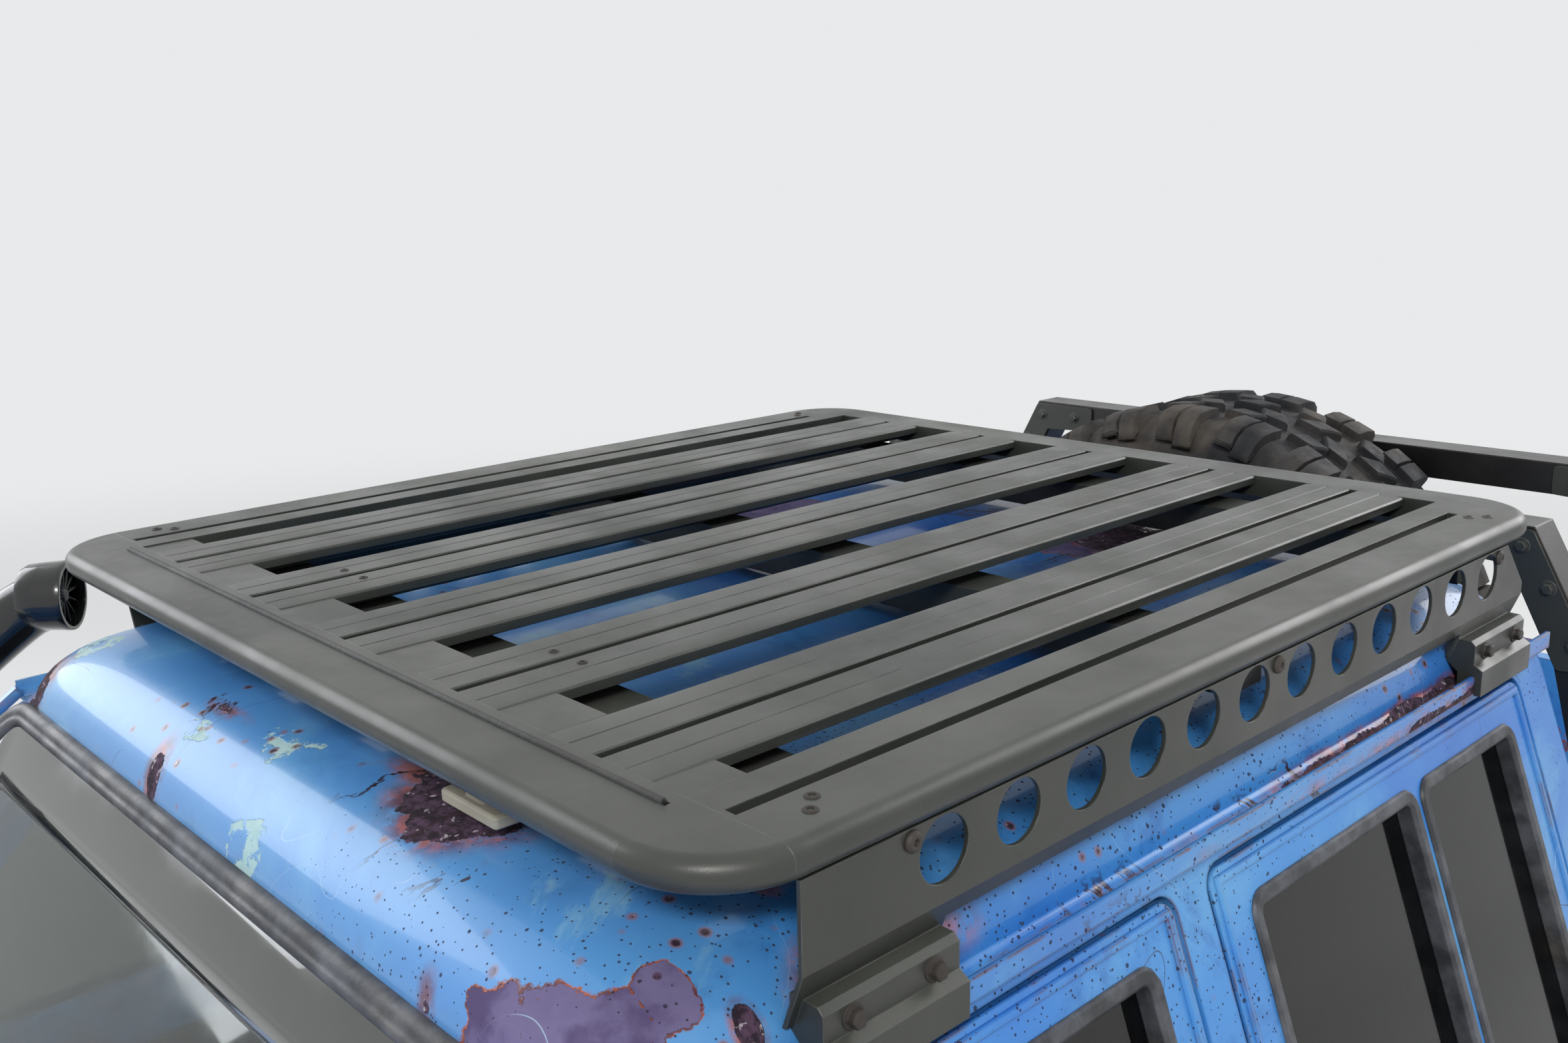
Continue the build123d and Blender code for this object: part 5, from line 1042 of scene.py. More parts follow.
def seat_form(x, width, front_y, rear_y, back_z, piece):
    """The cushion and the back of one seat, inside the space of its solid."""
    top = 1.122
    rows = []
    # Columns: share of the width, lift, station along the cushion
    cushion = ((0.80, -0.012, front_y + 0.014), (0.93, 0.0, front_y + 0.030), (0.97, 0.004, front_y + 0.09),
               (0.97, -0.012, (front_y + rear_y) / 2), (0.95, -0.026, rear_y - 0.06),
               (0.86, -0.032, rear_y - 0.016))
    for share, lift, y in cushion:
        thick = 0.125 if 0.9 < share else 0.085
        rows.append(((x, y, top - 0.068 + lift), (0, 1, 0), share, thick))
    piece.rings(pad_rings(rows, width, radius=0.045))
    rows = []
    single = (0.84, 0.93, 0.95, 0.94, 0.91, 0.86, 0.70)
    bench = (0.95, 0.98, 0.98, 0.98, 0.97, 0.96, 0.93)
    shares = single if width < bench_width else bench
    count = len(shares)
    for number, share in enumerate(shares):
        t = number / (count - 1)
        z = 1.118 + (back_z - 0.012 - 1.118) * t
        front = rear_y + 0.072 * (z - 1.100) / (back_z - 1.100)
        rear = rear_y + 0.092 + 0.016 * t
        thick = (rear - front - 0.008) * (0.80 if number in (0, count - 1) else 1.0)
        rows.append(((x, (front + rear) / 2, z), (0, 0.11, 1), share, thick))
    piece.rings(pad_rings(rows, width, radius=0.04))


# Columns: name, x, width, the cushion's front and rear, the back's top
seat_places = (
    ("left", 0.390, 0.470, -0.560, -0.060, 1.700),
    ("right", -0.390, 0.470, -0.560, -0.060, 1.700),
    ("rear", 0.0, 1.270, 0.230, 0.620, 1.650),
)
bases = Piece()
for name, x, width, front_y, rear_y, back_z in seat_places:
    pads = Piece()
    seat_form(x, width, front_y, rear_y, back_z, pads)
    lines = (0.075, 0.155) if width < bench_width else (0.10, 0.28, 0.46)
    channels = [lambda p, l=l, x=x: abs(abs(p.x - x) - l) for l in lines]
    channels.append(lambda p, y=front_y * 0.75 + rear_y * 0.25: abs(p.y - y) if p.z < 1.15 else 1.0)
    channels.append(lambda p, z=back_z - 0.14: abs(p.z - z))
    voxel = 0.0085 if width < bench_width else 0.012
    item = blown(pads, "seat_pads_" + name, "chassis", voxel, 0.009, channels)
    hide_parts("seats")
    if width < bench_width:
        rest = Piece()
        form = ((-0.012, 0.80, 0.040), (0.004, 0.94, 0.056), (0.060, 1.0, 0.062), (0.110, 0.96, 0.058))
        form += ((0.132, 0.84, 0.040),)
        rows = [((x, 0.030, back_z + dz), (0, 0, 1), share, thick) for dz, share, thick in form]
        rest.rings(pad_rings(rows, 0.240, radius=0.028))
        item = blown(rest, "headrest_" + name, "chassis", 0.007, 0.006, [])
        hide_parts("seats")
        for half_side in (-1, 1):
            post_x = x + half_side * 0.055
            bases.rod((post_x, 0.030, back_z - 0.05), (post_x, 0.030, back_z + 0.01), 0.006, 12)
        for half_side in (-1, 1):
            bases.block((x + half_side * 0.17, -0.30, 0.870), (0.034, 0.44, 0.018), 0.004, 0.003)
            bases.block((x + half_side * 0.215, -0.11, 1.045), (0.020, 0.19, 0.060), 0.02, 0.004)
            bases.rod((x + half_side * 0.20, -0.075, 1.06), (x + half_side * 0.232, -0.075, 1.06), 0.026, 24)
        bases.block((x, -0.30, 0.935), (0.40, 0.42, 0.11), 0.03, 0.012)
        bases.rod((x - 0.12, -0.545, 0.955), (x + 0.12, -0.545, 0.955), 0.006, 12)
    else:
        bases.block((x, 0.43, 0.935), (1.20, 0.34, 0.14), 0.03, 0.012)
    # The back's shell behind the pad
    shell = 0.44 if width < bench_width else 1.22
    section = ((-1, 0.070), (1, 0.070), (1, 0.0975), (-1, 0.0975))
    rows = []
    for z, share in ((0.90, 0.90), (1.00, 1.0), (back_z - 0.10, 0.94), (back_z - 0.035, 0.80)):
        rows.append([Vector((x + way * shell / 2 * share, rear_y + off, z)) for way, off in section])
    bases.rings(rows)
bases.make("seat_frames", "plastic", "chassis")
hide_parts("seats")

# Interior: instruments, vents, levers, pedals, mirror and visors
cabin = Piece()
dash_face = Vector((0, 0.89, 0.24)).normalized()
for x in (-0.62, -0.12, 0.12, 0.64):
    place = facing((x, -0.7905, 1.352), dash_face)
    cabin.slab(place, rect(0.105, 0.062, 0.010), 0.010, 0.003, 0)
    for row in range(5):
        louvre = place @ Matrix.Translation((0, -0.020 + row * 0.010, 0.0125))
        cabin.block(None, (0.088, 0.004, 0.006), 0.001, 0.0008, louvre)
# The instruments' hood over the dashboard
rows = []
for y, grow in ((-0.900, 0.88), (-0.850, 1.0), (-0.765, 1.04), (-0.757, 1.02)):
    low, high = 1.380, 1.380 + 0.088 * grow
    points = [(-0.165 * grow, low), (0.165 * grow, low), (0.150 * grow, high), (-0.150 * grow, high)]
    rows.append([Vector((0.390 + p.x, y, p.y)) for p in corner_arcs(points, 0.022, 4)])
cabin.rings(rows)
# Radio panel with its knobs, glove box with its catch, tunnel and console
cabin.block((0.0, -0.778, 1.262), (0.24, 0.050, 0.100), 0.010, 0.004)
for row in range(2):
    for number in range(4):
        x, z = -0.082 + number * 0.055, 1.240 + row * 0.044
        cabin.rod((x, -0.755, z), (x, -0.735, z + 0.002), 0.012, 20)
cabin.block((-0.42, -0.800, 1.235), (0.40, 0.016, 0.130), 0.014, 0.005)
cabin.block((-0.42, -0.790, 1.285), (0.070, 0.010, 0.018), 0.006, 0.002)
cabin.block((0.0, -0.50, 0.885), (0.19, 0.62, 0.046), 0.03, 0.012)
cabin.block((0.0, -0.22, 0.985), (0.17, 0.34, 0.150), 0.02, 0.010)
# Gear lever and transfer lever, each with a boot and a knob
for x, y, height in ((0.02, -0.560, 0.285), (-0.045, -0.450, 0.190)):
    boot = [(0, 0.046), (0.018, 0.042), (0.034, 0.026), (0.050, 0.018), (0.058, 0.010)]
    knob = [(0, 0.010), (0.008, 0.018), (0.022, 0.023), (0.036, 0.020), (0.044, 0.010)]
    cabin.turned(facing((x, y, 0.900), (0, 0, 1)), boot, 24)
    cabin.rod((x, y, 0.940), (x + 0.012, y + 0.030, 0.900 + height), 0.0065, 12)
    cabin.turned(facing((x + 0.012, y + 0.030, 0.895 + height), (0.05, 0.1, 1)), knob, 24)
# Pedals, then the steering column's stalks and the inner mirror on its arm
for x in (0.30, 0.39, 0.50):
    cabin.block((x, -0.905, 0.965), (0.060, 0.012, 0.075), 0.008, 0.003)
    cabin.rod((x, -0.910, 1.000), (x, -0.945, 1.110), 0.006, 10)
cabin.rod((0.250, -0.690, 1.395), (0.160, -0.700, 1.410), 0.006, 12)
cabin.rod((0.530, -0.690, 1.395), (0.620, -0.700, 1.410), 0.006, 12)
cabin.rod((0.0, -0.628, 1.888), (0.0, -0.600, 1.855), 0.006, 12)
cabin.block((0.0, -0.592, 1.838), (0.230, 0.022, 0.062), 0.024, 0.008)
# Sun visors and grab handles
for side in (-1, 1):
    tilt = Matrix.Rotation(math.radians(-12), 4, "X")
    visor = Matrix.Translation((side * 0.31, -0.495, 1.938)) @ tilt
    cabin.block(None, (0.42, 0.130, 0.014), 0.020, 0.006, visor)
    line = ((-0.420, 1.935), (-0.405, 1.892), (-0.195, 1.896), (-0.180, 1.938))
    cabin.pipe([(side * 0.552, y, z) for y, z in line], 0.008, 12)
cabin.make("cabin_fittings", "plastic", "chassis")
dials = Piece()
for x, radius in ((0.325, 0.045), (0.455, 0.045)):
    place = facing((x, -0.7575, 1.424), (0, 1, 0))
    rim = [(0.0, radius), (0.003, radius), (0.004, radius - 0.003), (0.002, radius - 0.005)]
    dials.turned(place, rim, 36)
    for number in range(11):
        turn = math.radians(225 - number * 27)
        tick = place @ Matrix.Rotation(turn, 4, "Z") @ Matrix.Translation((radius - 0.011, 0, 0.0030))
        dials.block(None, (0.007, 0.0014, 0.0014), 0.0003, 0.0003, tick)
    hand = place @ Matrix.Rotation(math.radians(205), 4, "Z")
    hand = hand @ Matrix.Translation((radius * 0.30, 0, 0.0045))
    dials.block(None, (radius * 0.75, 0.0022, 0.0014), 0.0006, 0.0004, hand)
    dials.turned(place, [(0.001, 0.006), (0.006, 0.006), (0.007, 0.004)], 20)
dials.make("dial_marks", "pale", "chassis")
glass_in = Piece()
glass_in.slab(facing((0, -0.5812, 1.838), (0, 1, 0)), rect(0.214, 0.048, 0.018), 0.0022, 0.0006, 0)
glass_in.make("inner_mirror_glass", "mirror", "chassis")

# Doors: cards with armrest, crank and release inside; handles, locks and mirror glass outside
for corner in corners:
    side = side_of(corner)
    front = corner.startswith("front")
    body = "door_" + corner
    low_y, high_y = (-0.955, -0.075) if front else (0.025, 0.680)
    middle, wide = (low_y + high_y) / 2, high_y - low_y
    inner, skin_x = 0.7715, 0.8452
    card = Piece()
    place = facing((side * inner, middle, 1.115), (-side, 0, 0))
    card.slab(place, rect(wide, 0.440, 0.03), 0.006, 0.003, 0)
    panel = place @ Matrix.Translation((0, 0.02, 0.005))
    card.slab(panel, rect(wide * 0.86, 0.170, 0.03), 0.010, 0.006, 0)
    # Armrest, map pocket, then window crank and release
    card.block((side * (inner - 0.028), middle + 0.05, 1.150), (0.050, 0.30, 0.052), 0.02, 0.010)
    card.block((side * (inner - 0.020), middle, 0.960), (0.032, wide * 0.60, 0.090), 0.016, 0.008)
    crank = Vector((side * (inner - 0.010), middle - 0.10 if front else middle + 0.12, 1.045))
    inward, reach = Vector((-side, 0, 0)), Vector((0, 0.075, 0.050))
    card.turned(facing(crank, inward), [(0, 0.024), (0.008, 0.024), (0.012, 0.018), (0.024, 0.014)], 24)
    card.rod(crank + inward * 0.020, crank + inward * 0.028 + reach, 0.007, 12)
    card.rod(crank + inward * 0.026 + reach, crank + inward * 0.060 + reach, 0.011, 16)
    card.block((side * (inner - 0.016), low_y + 0.17, 1.245), (0.014, 0.110, 0.034), 0.010, 0.004)
    card.block((side * (inner - 0.024), low_y + 0.17, 1.246), (0.008, 0.080, 0.014), 0.005, 0.002)
    if front:
        # Rings of the loudspeaker's grille
        speaker = facing((side * (inner - 0.006), low_y + 0.13, 1.000), inward)
        for ring in range(6):
            reach = 0.010 + ring * 0.012
            card.turned(speaker, [(0, reach + 0.004), (0.004, reach + 0.004), (0.004, reach)], 32)
    card.make("door_card_" + corner, "plastic", body)
    handle_y = (-0.055 if front else 0.700) - 0.110
    outer = Piece()
    plate = facing((side * skin_x, handle_y, 1.270), (side, 0, 0))
    outer.slab(plate, rect(0.165, 0.056, 0.024), 0.0035, 0.0015, 0)
    pull = facing((side * (skin_x + 0.0176), handle_y, 1.270), (side, 0, 0))
    outer.slab(pull, rect(0.118, 0.020, 0.009), 0.0045, 0.002, 0)
    lock = facing((side * (skin_x + 0.0003), handle_y, 1.222), (side, 0, 0))
    profile = [(0, 0.0135), (0.004, 0.0135), (0.0055, 0.0115), (0.0055, 0.004), (0.003, 0.004)]
    outer.turned(lock, profile, 28)
    outer.make("handle_plate_" + corner, "gloss", body)
    if front:
        mirror_x, mirror_z = side * 0.980, 1.540
        pane = Piece()
        pane_place = facing((mirror_x, -0.8103, mirror_z), (0, 1, 0))
        pane.slab(pane_place, rect(0.142, 0.182, 0.022), 0.0030, 0.0012, 0)
        pane.make("mirror_glass_" + corner, "mirror", body)
        # Columns: step along Y from the housing's front, half width, half height, corner radius
        shell, rows = Piece(), []
        for dy, half_wide, half_high, radius in (
            (0.0005, 0.086, 0.106, 0.020), (-0.003, 0.0855, 0.1055, 0.024),
            (-0.018, 0.075, 0.096, 0.034), (-0.025, 0.050, 0.070, 0.034),
        ):
            place = facing((mirror_x, -0.880 + dy, mirror_z), (0, -1, 0))
            outline = rect(2 * half_wide, 2 * half_high, radius, 5)
            rows.append([place @ Vector((p.x, p.y, 0)) for p in outline])
        shell.rings(rows)
        shell.make("mirror_shell_" + corner, "plastic", body)

# Front end: lamp bezels, indicators, grille edge, hood ribs and latches, wipers
nose, lamp_x, lamp_z, indicator_x = -2.2623, 0.615, 1.165, 0.772
forward = Vector((0, -1, 0))
front_trim = Piece()
for side in (-1, 1):
    bezel = [(-0.001, 0.112), (0.006, 0.112), (0.012, 0.108), (0.016, 0.100), (0.016, 0.0955),
        (0.002, 0.0955)]
    bezel.append((-0.001, 0.0965))
    front_trim.turned(facing((side * lamp_x, nose, lamp_z), forward), bezel, 56)
    for number in range(4):
        turn = math.radians(45 + number * 90)
        x, z = side * lamp_x + 0.104 * math.cos(turn), lamp_z + 0.104 * math.sin(turn)
        screw = facing((x, nose - 0.0145, z), forward)
        front_trim.turned(screw, [(0, 0.0040), (0.0016, 0.0038), (0.0024, 0.0020)], 12)
    base = facing((side * indicator_x, nose, lamp_z), forward)
    front_trim.slab(base, rect(0.074, 0.160, 0.018), 0.008, 0.003, 0)
frame_line = corner_arcs([(-0.4705, 1.040), (0.4705, 1.040), (0.4705, 1.290), (-0.4705, 1.290)], 0.030, 6)
section = [(0.0, -0.012), (-0.004, -0.010), (-0.004, 0.004), (0.002, 0.009), (0.012, 0.008), (0.016, -0.0008)]
front_trim.band(frame_line, lambda p, up: Vector((p[0], nose - up, p[1])), section)
front_trim.make("lamp_bezels", "gloss", "chassis", 40)
# Screen behind the bars: upright wires just ahead of level ones
screen, wire = Piece(), 0.0012
wire_section = ((-wire, -wire), (wire, -wire), (wire, wire), (-wire, wire))
for number in range(58):
    x = -0.456 + number * 0.016
    screen.rings([[Vector((x + a, -2.2335 + b, z)) for a, b in wire_section] for z in (1.042, 1.288)])
for number in range(16):
    z = 1.050 + number * 0.0153
    screen.rings([[Vector((x, -2.2305 + b, z + a)) for a, b in wire_section] for x in (-0.462, 0.462)])
screen.make("grille_screen", "plastic", "chassis")
amber = Piece()
for side in (-1, 1):
    place = facing((side * indicator_x, nose - 0.006, lamp_z), forward)
    amber.slab(place, rect(0.058, 0.142, 0.013), 0.010, 0.005, 0)
    place = facing((side * 0.8455, -1.160, 1.245), (side, 0, 0))
    amber.slab(place, rect(0.062, 0.030, 0.012), 0.012, 0.006, 0)
amber.make("indicator_lenses", "amber", "chassis")
rings = Piece()
for side in (-1, 1):
    for radius in (0.088, 0.060):
        # The inner ring stands further out, as the lens is domed
        rise = (0.095 - radius) * 0.28
        profile = [(0.000, radius + 0.0045), (0.002 + rise, radius + 0.0045), (0.0035 + rise, radius)]
        profile.append((0.000, radius))
        rings.turned(facing((side * lamp_x, nose - 0.010, lamp_z), forward), profile, 56, True)
rings.make("lamp_rings", "clear", "chassis")

hood_rear_y, hood_front_y, hood_half = -1.020, -2.226, 0.636


def hood_top(x, y):
    """The height of the hood's skin, which slopes to the front and is crowned across."""
    share = (y - hood_rear_y) / (hood_front_y - hood_rear_y)
    return 1.425 - 0.080 * share + 0.030 * (1 - (x / hood_half) ** 2)


ribs = Piece()
for x0, x1, width in ((0.300, 0.270, 0.016), (0.470, 0.440, 0.011)):
    for side in (-1, 1):
        rows = []
        for step in range(13):
            share = step / 12
            y = -1.075 - 1.080 * share
            x = side * (x0 + (x1 - x0) * share)
            high = 0.007 * min(1.0, 5 * share + 0.05, 5 * (1 - share) + 0.05)
            section = [(-1.6, -0.003), (-1, high * 0.55), (-0.4, high), (0.4, high), (1, high * 0.55)]
            section.append((1.6, -0.003))
            rows.append([Vector((x + side * width * w, y, hood_top(x, y) + h)) for w, h in section])
        ribs.rings(rows)
ribs.make("hood_ribs", "patina", "hood", 60)
latches = Piece()
for side in (-1, 1):
    y, z = -2.150, hood_top(0.560, -2.150)
    latches.block((side * 0.560, y, z + 0.004), (0.060, 0.034, 0.012), 0.010, 0.004)
    latches.block((side * 0.540, y, z + 0.014), (0.030, 0.018, 0.012), 0.006, 0.004)
    latches.bolt((side * 0.578, y, z + 0.009), (0, 0, 1), 0.008, 0.003, False)
    # Washer jets
    jet = facing((side * 0.180, -1.180, hood_top(0.180, -1.180) - 0.001), (0, -0.1, 1))
    latches.turned(jet, [(0, 0.0150), (0.004, 0.0145), (0.010, 0.0090), (0.014, 0.0080)], 20)
latches.make("hood_fittings", "plastic", "hood")
wipers = Piece()
for x, tip in ((0.42, -0.06), (-0.12, -0.60)):
    pivot = on_screen((x, -0.2915), 0.004)
    boss = [(-0.004, 0.010), (0.006, 0.0095), (0.012, 0.0075), (0.014, 0.005)]
    wipers.turned(facing(pivot, screen_out), boss, 24)
    knee = on_screen((x + (tip - x) * 0.30, -0.262), 0.024)
    mid = on_screen(((x + tip) / 2 - 0.06, -0.222), 0.022)
    wipers.pipe([pivot + screen_out * 0.010, knee, mid], 0.0052, 10)
    a, b = on_screen((x - 0.06, -0.216), 0.012), on_screen((tip, -0.216), 0.012)
    rows = []
    blade = ((-0.0035, 0.0), (0.0035, 0.0), (0.0035, 0.006), (0.0015, 0.010), (-0.0015, 0.010),
        (-0.0035, 0.006))
    for step in range(9):
        here = a.lerp(b, step / 8)
        rows.append([here + screen_up * u + screen_out * w for u, w in blade])
    wipers.rings(rows)
    for share in (0.15, 0.38, 0.62, 0.85):
        here = a.lerp(b, share) + screen_out * 0.012
        wipers.block(None, (0.024, 0.010, 0.009), 0.003, 0.002, facing(here, screen_out, screen_up))
wipers.make("wipers", "gloss", "chassis")

# Bumpers, flares and chassis: bolts and bands
bolts = Piece()
for side in (-1, 1):
    for x in (0.12, 0.34):
        for z in (0.715, 0.810):
            bolts.bolt((side * x, -2.3803, z), (0, -1, 0), 0.020, 0.008)
    for x in (0.20, 0.30):
        bolts.bolt((side * x, -2.3803, 0.762), (0, -1, 0), 0.017, 0.007)
    for x in (0.52, 0.70, 0.84):
        y = -2.380 + 0.140 * (x - 0.430) / 0.475
        bolts.bolt((side * x, y - 0.0003, 0.762), (side * 0.283, -0.959, 0), 0.015, 0.006)
    for x in (0.30, 0.55, 0.76):
        bolts.bolt((side * x, 2.4355, 0.780), (0, 1, 0), 0.017, 0.005)
bolts.make("bumper_bolts", "spring", "chassis")
# Studs round the flares, each square to the flare's slanting face
studs = Piece()
stud = [(-0.003, 0.0100), (0.0012, 0.0100), (0.0030, 0.0085), (0.0042, 0.0060), (0.0042, 0.0030)]
stud.append((0.0022, 0.0030))
for axle_y, radius in ((front_axle_y, 0.525), (rear_axle_y, 0.505)):
    for side in (-1, 1):
        for number in range(11):
            turn = math.radians(40 + number * 10)
            radial = Vector((0, math.cos(turn), math.sin(turn)))
            spot = Vector((side * 0.9120, axle_y, axle_z)) + radial * (radius + 0.0228)
            studs.turned(facing(spot, radial * 0.949 + Vector((side * 0.315, 0, 0))), stud, 20)
studs.make("flare_studs", "spring", "chassis")
under, spring_x = Piece(), 0.345
for axle_y in (front_axle_y, rear_axle_y):
    for side in (-1, 1):
        # Nuts of the U-bolts under the spring's plate
        for x in (-0.037, 0.037):
            for y in (-0.052, 0.052):
                spot = Vector((side * spring_x + x, axle_y + y, 0.3897))
                under.turned(facing(spot, (0, 0, -1)), [(0, 0.013), (0.003, 0.013), (0.004, 0.012)], 16)
                under.slab(facing(spot, (0, 0, -1)), disc(0.0105, 6), 0.016, 0.002, 0)
        centre_bolt = facing((side * spring_x, axle_y, 0.5500), (0, 0, 1))
        under.turned(centre_bolt, [(-0.004, 0.018), (0.000, 0.018), (0.006, 0.012)], 16)
        # Wrapped clips round the leaves
        for end in (-1, 1):
            tilt = Matrix.Rotation(end * 0.21, 4, "X")
            clip = Matrix.Translation((side * spring_x, axle_y + end * 0.300, 0.5340)) @ tilt
            under.block(None, (0.070, 0.030, 0.046), 0.004, 0.003, clip)
    # Cover on the axle's swollen middle
    centre_x, ball, way = (-0.120, 0.112, -1) if axle_y < 0 else (0.0, 0.130, 1)
    place = facing((centre_x, axle_y + way * ball * 0.62, axle_z), (0, way, 0))
    rim_r = ball * 0.86
    profile = [(-0.012, rim_r), (0.004, rim_r), (0.007, rim_r - 0.004), (0.008, rim_r - 0.016)]
    profile += [(0.030, rim_r * 0.72), (0.046, rim_r * 0.40), (0.050, rim_r * 0.10)]
    under.turned(place, profile, 40)
    for number in range(10):
        turn = math.tau * number / 10
        spot = place @ Vector((math.cos(turn) * (rim_r - 0.009), math.sin(turn) * (rim_r - 0.009), 0.0065))
        under.bolt(spot, (0, way, 0), 0.011, 0.005, False)
# Joints of the propeller shafts, alike on both sides of their middle
half = [(0.022, 0.036), (0.026, 0.047), (0.034, 0.047), (0.040, 0.034)]
joint = [(-z, radius) for z, radius in reversed(half)] + half
rear_shaft = ((0, -0.320, 0.650), (0, 1.165, axle_z))
front_shaft = ((-0.120, -0.620, 0.570), (-0.120, -1.365, axle_z))
for start, end in (rear_shaft, front_shaft):
    a, b = Vector(start), Vector(end)
    line = (b - a).normalized()
    for spot in (a + line * 0.050, b - line * 0.060):
        under.turned(facing(spot, line), joint, 24)
        side_way = line.cross(Vector((0, 0, 1))).normalized()
        under.rod(spot - side_way * 0.046, spot + side_way * 0.046, 0.013, 14)
under.make("chassis_fittings", "cast", "chassis")
straps = Piece()
tank_line = corner_arcs([(0.0585, 0.5985), (0.3105, 0.5985), (0.3105, 0.7815), (0.0585, 0.7815)], 0.031, 5)
section = ((-0.018, 0.0), (-0.018, 0.003), (0.018, 0.003), (0.018, 0.0))
for y in (0.45, 0.83):
    rows = [[Vector((p.x, y + dy, p.y)) for p in grown(tank_line, out)] for dy, out in section]
    straps.rings(rows, around=True)
for y in (-0.245, 0.165):
    straps.hoop((-0.275, y, 0.545), (0, 1, 0), 0.0700, 0.0745, 0.010, 40)
for spot in ((-0.275, -0.700, 0.545), (-0.205, 1.000, 0.560), (-0.430, 2.230, 0.545)):
    straps.hoop(spot, (0, 1, 0), 0.0278, 0.0315, 0.012, 28)
    straps.bolt(Vector(spot) + Vector((0.036, 0, 0)), (1, 0, 0), 0.010, 0.005)
straps.make("tank_and_exhaust_straps", "chassis", "chassis", 50)

# Load bed: ribbed floor, rail caps, tie hooks, filler flap, mud flaps, lamp lenses, gate handle
floor_ribs, floor_z = Piece(), 0.930
section = ((-0.020, -0.003), (-0.014, 0.006), (0.014, 0.006), (0.020, -0.003))
for number in range(17):
    x = -0.560 + number * 0.070
    # The ribs in the middle stop short of the spare wheel's foot
    spans = ((0.865, 1.225), (1.440, 2.270)) if abs(x - spare_centre.x) < 0.13 else ((0.865, 2.270),)
    for start, end in spans:
        rows = ((start, 0.1), (start + 0.012, 1), (end - 0.012, 1), (end, 0.1))
        floor_ribs.rings([[Vector((x + a, y, floor_z + b * k)) for a, b in section] for y, k in rows])
floor_ribs.make("bed_floor_ribs", "patina", "chassis")
caps = Piece()
# The section as (x, height over the rail, or none for the foot, which stays at its own level)
rail_z, foot_z = 1.4155, 1.4153
section = ((0.7195, None), (0.7190, 0.0040), (0.7230, 0.0060), (0.7860, 0.0060), (0.7905, 0.0035),
    (0.7905, None))
for side in (-1, 1):
    for start, end in ((0.968, 1.260), (1.400, 2.326)):
        rows = []
        for y, k in ((start, 0.6), (start + 0.006, 1.0), (end - 0.006, 1.0), (end, 0.6)):
            row = [(side * x, y, foot_z if high is None else rail_z + high * k) for x, high in section]
            rows.append([Vector(p) for p in row])
        caps.rings(rows)
caps.make("bed_rail_caps", "plastic", "chassis")
hooks = Piece()
for side in (-1, 1):
    for y in (0.960, 1.980):
        hooks.block((side * 0.7165, y, 1.300), (0.007, 0.050, 0.060), 0.006, 0.003)
        half = [(0.714, 0.018, 1.310), (0.690, 0.014, 1.300)]
        line = [(x, -dy, z) for x, dy, z in half] + [(0.684, 0, 1.288)] + half[::-1]
        hooks.pipe(smooth_path([(side * x, y + dy, z) for x, dy, z in line], 4), 0.0045, 10)
hooks.make("tie_hooks", "spring", "chassis")
filler = Piece()
place = facing((0.8452, 2.020, 1.190), (1, 0, 0))
filler.turned(place, [(-0.001, 0.074), (0.003, 0.074), (0.005, 0.071), (0.005, 0.066), (0.001, 0.065)], 48)
filler.turned(place, [(0.000, 0.063), (0.004, 0.063), (0.0055, 0.060), (0.0062, 0.030)], 48)
filler.make("filler_flap", "patina", "chassis", 40)
flaps = Piece()
for side in (-1, 1):
    rows = []
    across = (0.665, 0.830, 0.936)
    section = [(x, -0.003) for x in across] + [(x, 0.003) for x in reversed(across)]
    for z, bow in ((0.520, 0.018), (0.600, 0.010), (0.690, 0.004), (0.785, 0.0)):
        rows.append([Vector((side * x, 1.885 + bow + dy, z)) for x, dy in section])
    flaps.rings(rows)
    flaps.block((side * 0.800, 1.890, 0.786), (0.270, 0.020, 0.030), 0.004, 0.002)
    for x in (0.70, 0.80, 0.90):
        flaps.bolt((side * x, 1.900, 0.786), (0, 1, 0), 0.011, 0.004)
flaps.make("mud_flaps", "seal", "chassis")
lenses, tail_x = Piece(), 0.785
section = [(-0.009, 0.0), (-0.009, 0.0035), (0.0, 0.0050), (0.003, 0.0)]
for side in (-1, 1):
    near, far = side * tail_x - 0.0375, side * tail_x + 0.0375
    outline = corner_arcs([(near, 1.0725), (far, 1.0725), (far, 1.3075), (near, 1.3075)], 0.010, 4)
    lenses.band(outline, lambda p, up: Vector((p[0], 2.3377 + up, p[1])), section)
    for z in (1.150, 1.232):
        lenses.block((side * tail_x, 2.3385, z), (0.066, 0.005, 0.004), 0.001, 0.001)
    for z in (1.085, 1.295):
        screw = facing((side * tail_x, 2.3385, z), (0, 1, 0))
        lenses.turned(screw, [(0, 0.0045), (0.004, 0.0045), (0.005, 0.0030)], 12)
lenses.make("tail_lamp_frames", "gloss", "chassis")
turn_lens, back_lens = Piece(), Piece()
for side in (-1, 1):
    for lens, z, high in ((turn_lens, 1.266, 0.052), (back_lens, 1.112, 0.058)):
        place = facing((side * tail_x, 2.3375, z), (0, 1, 0))
        lens.slab(place, rect(0.060, high, 0.008), 0.0045, 0.002, 0)
turn_lens.make("turn_lenses", "amber", "chassis")
back_lens.make("backing_lenses", "lens", "chassis")
gate = Piece()
gate.block((0, 2.3165, 1.375), (0.150, 0.006, 0.022), 0.006, 0.002)
gate.block((0, 2.3225, 1.381), (0.110, 0.010, 0.010), 0.004, 0.003)
for side in (-1, 1):
    gate.block((side * 0.700, 2.3283, 1.330), (0.018, 0.006, 0.055), 0.005, 0.002)
    gate.bolt((side * 0.700, 2.3300, 1.330), (0, 1, 0), 0.012, 0.004)
gate.make("gate_handle", "gloss", "tailgate")
beads = Piece()
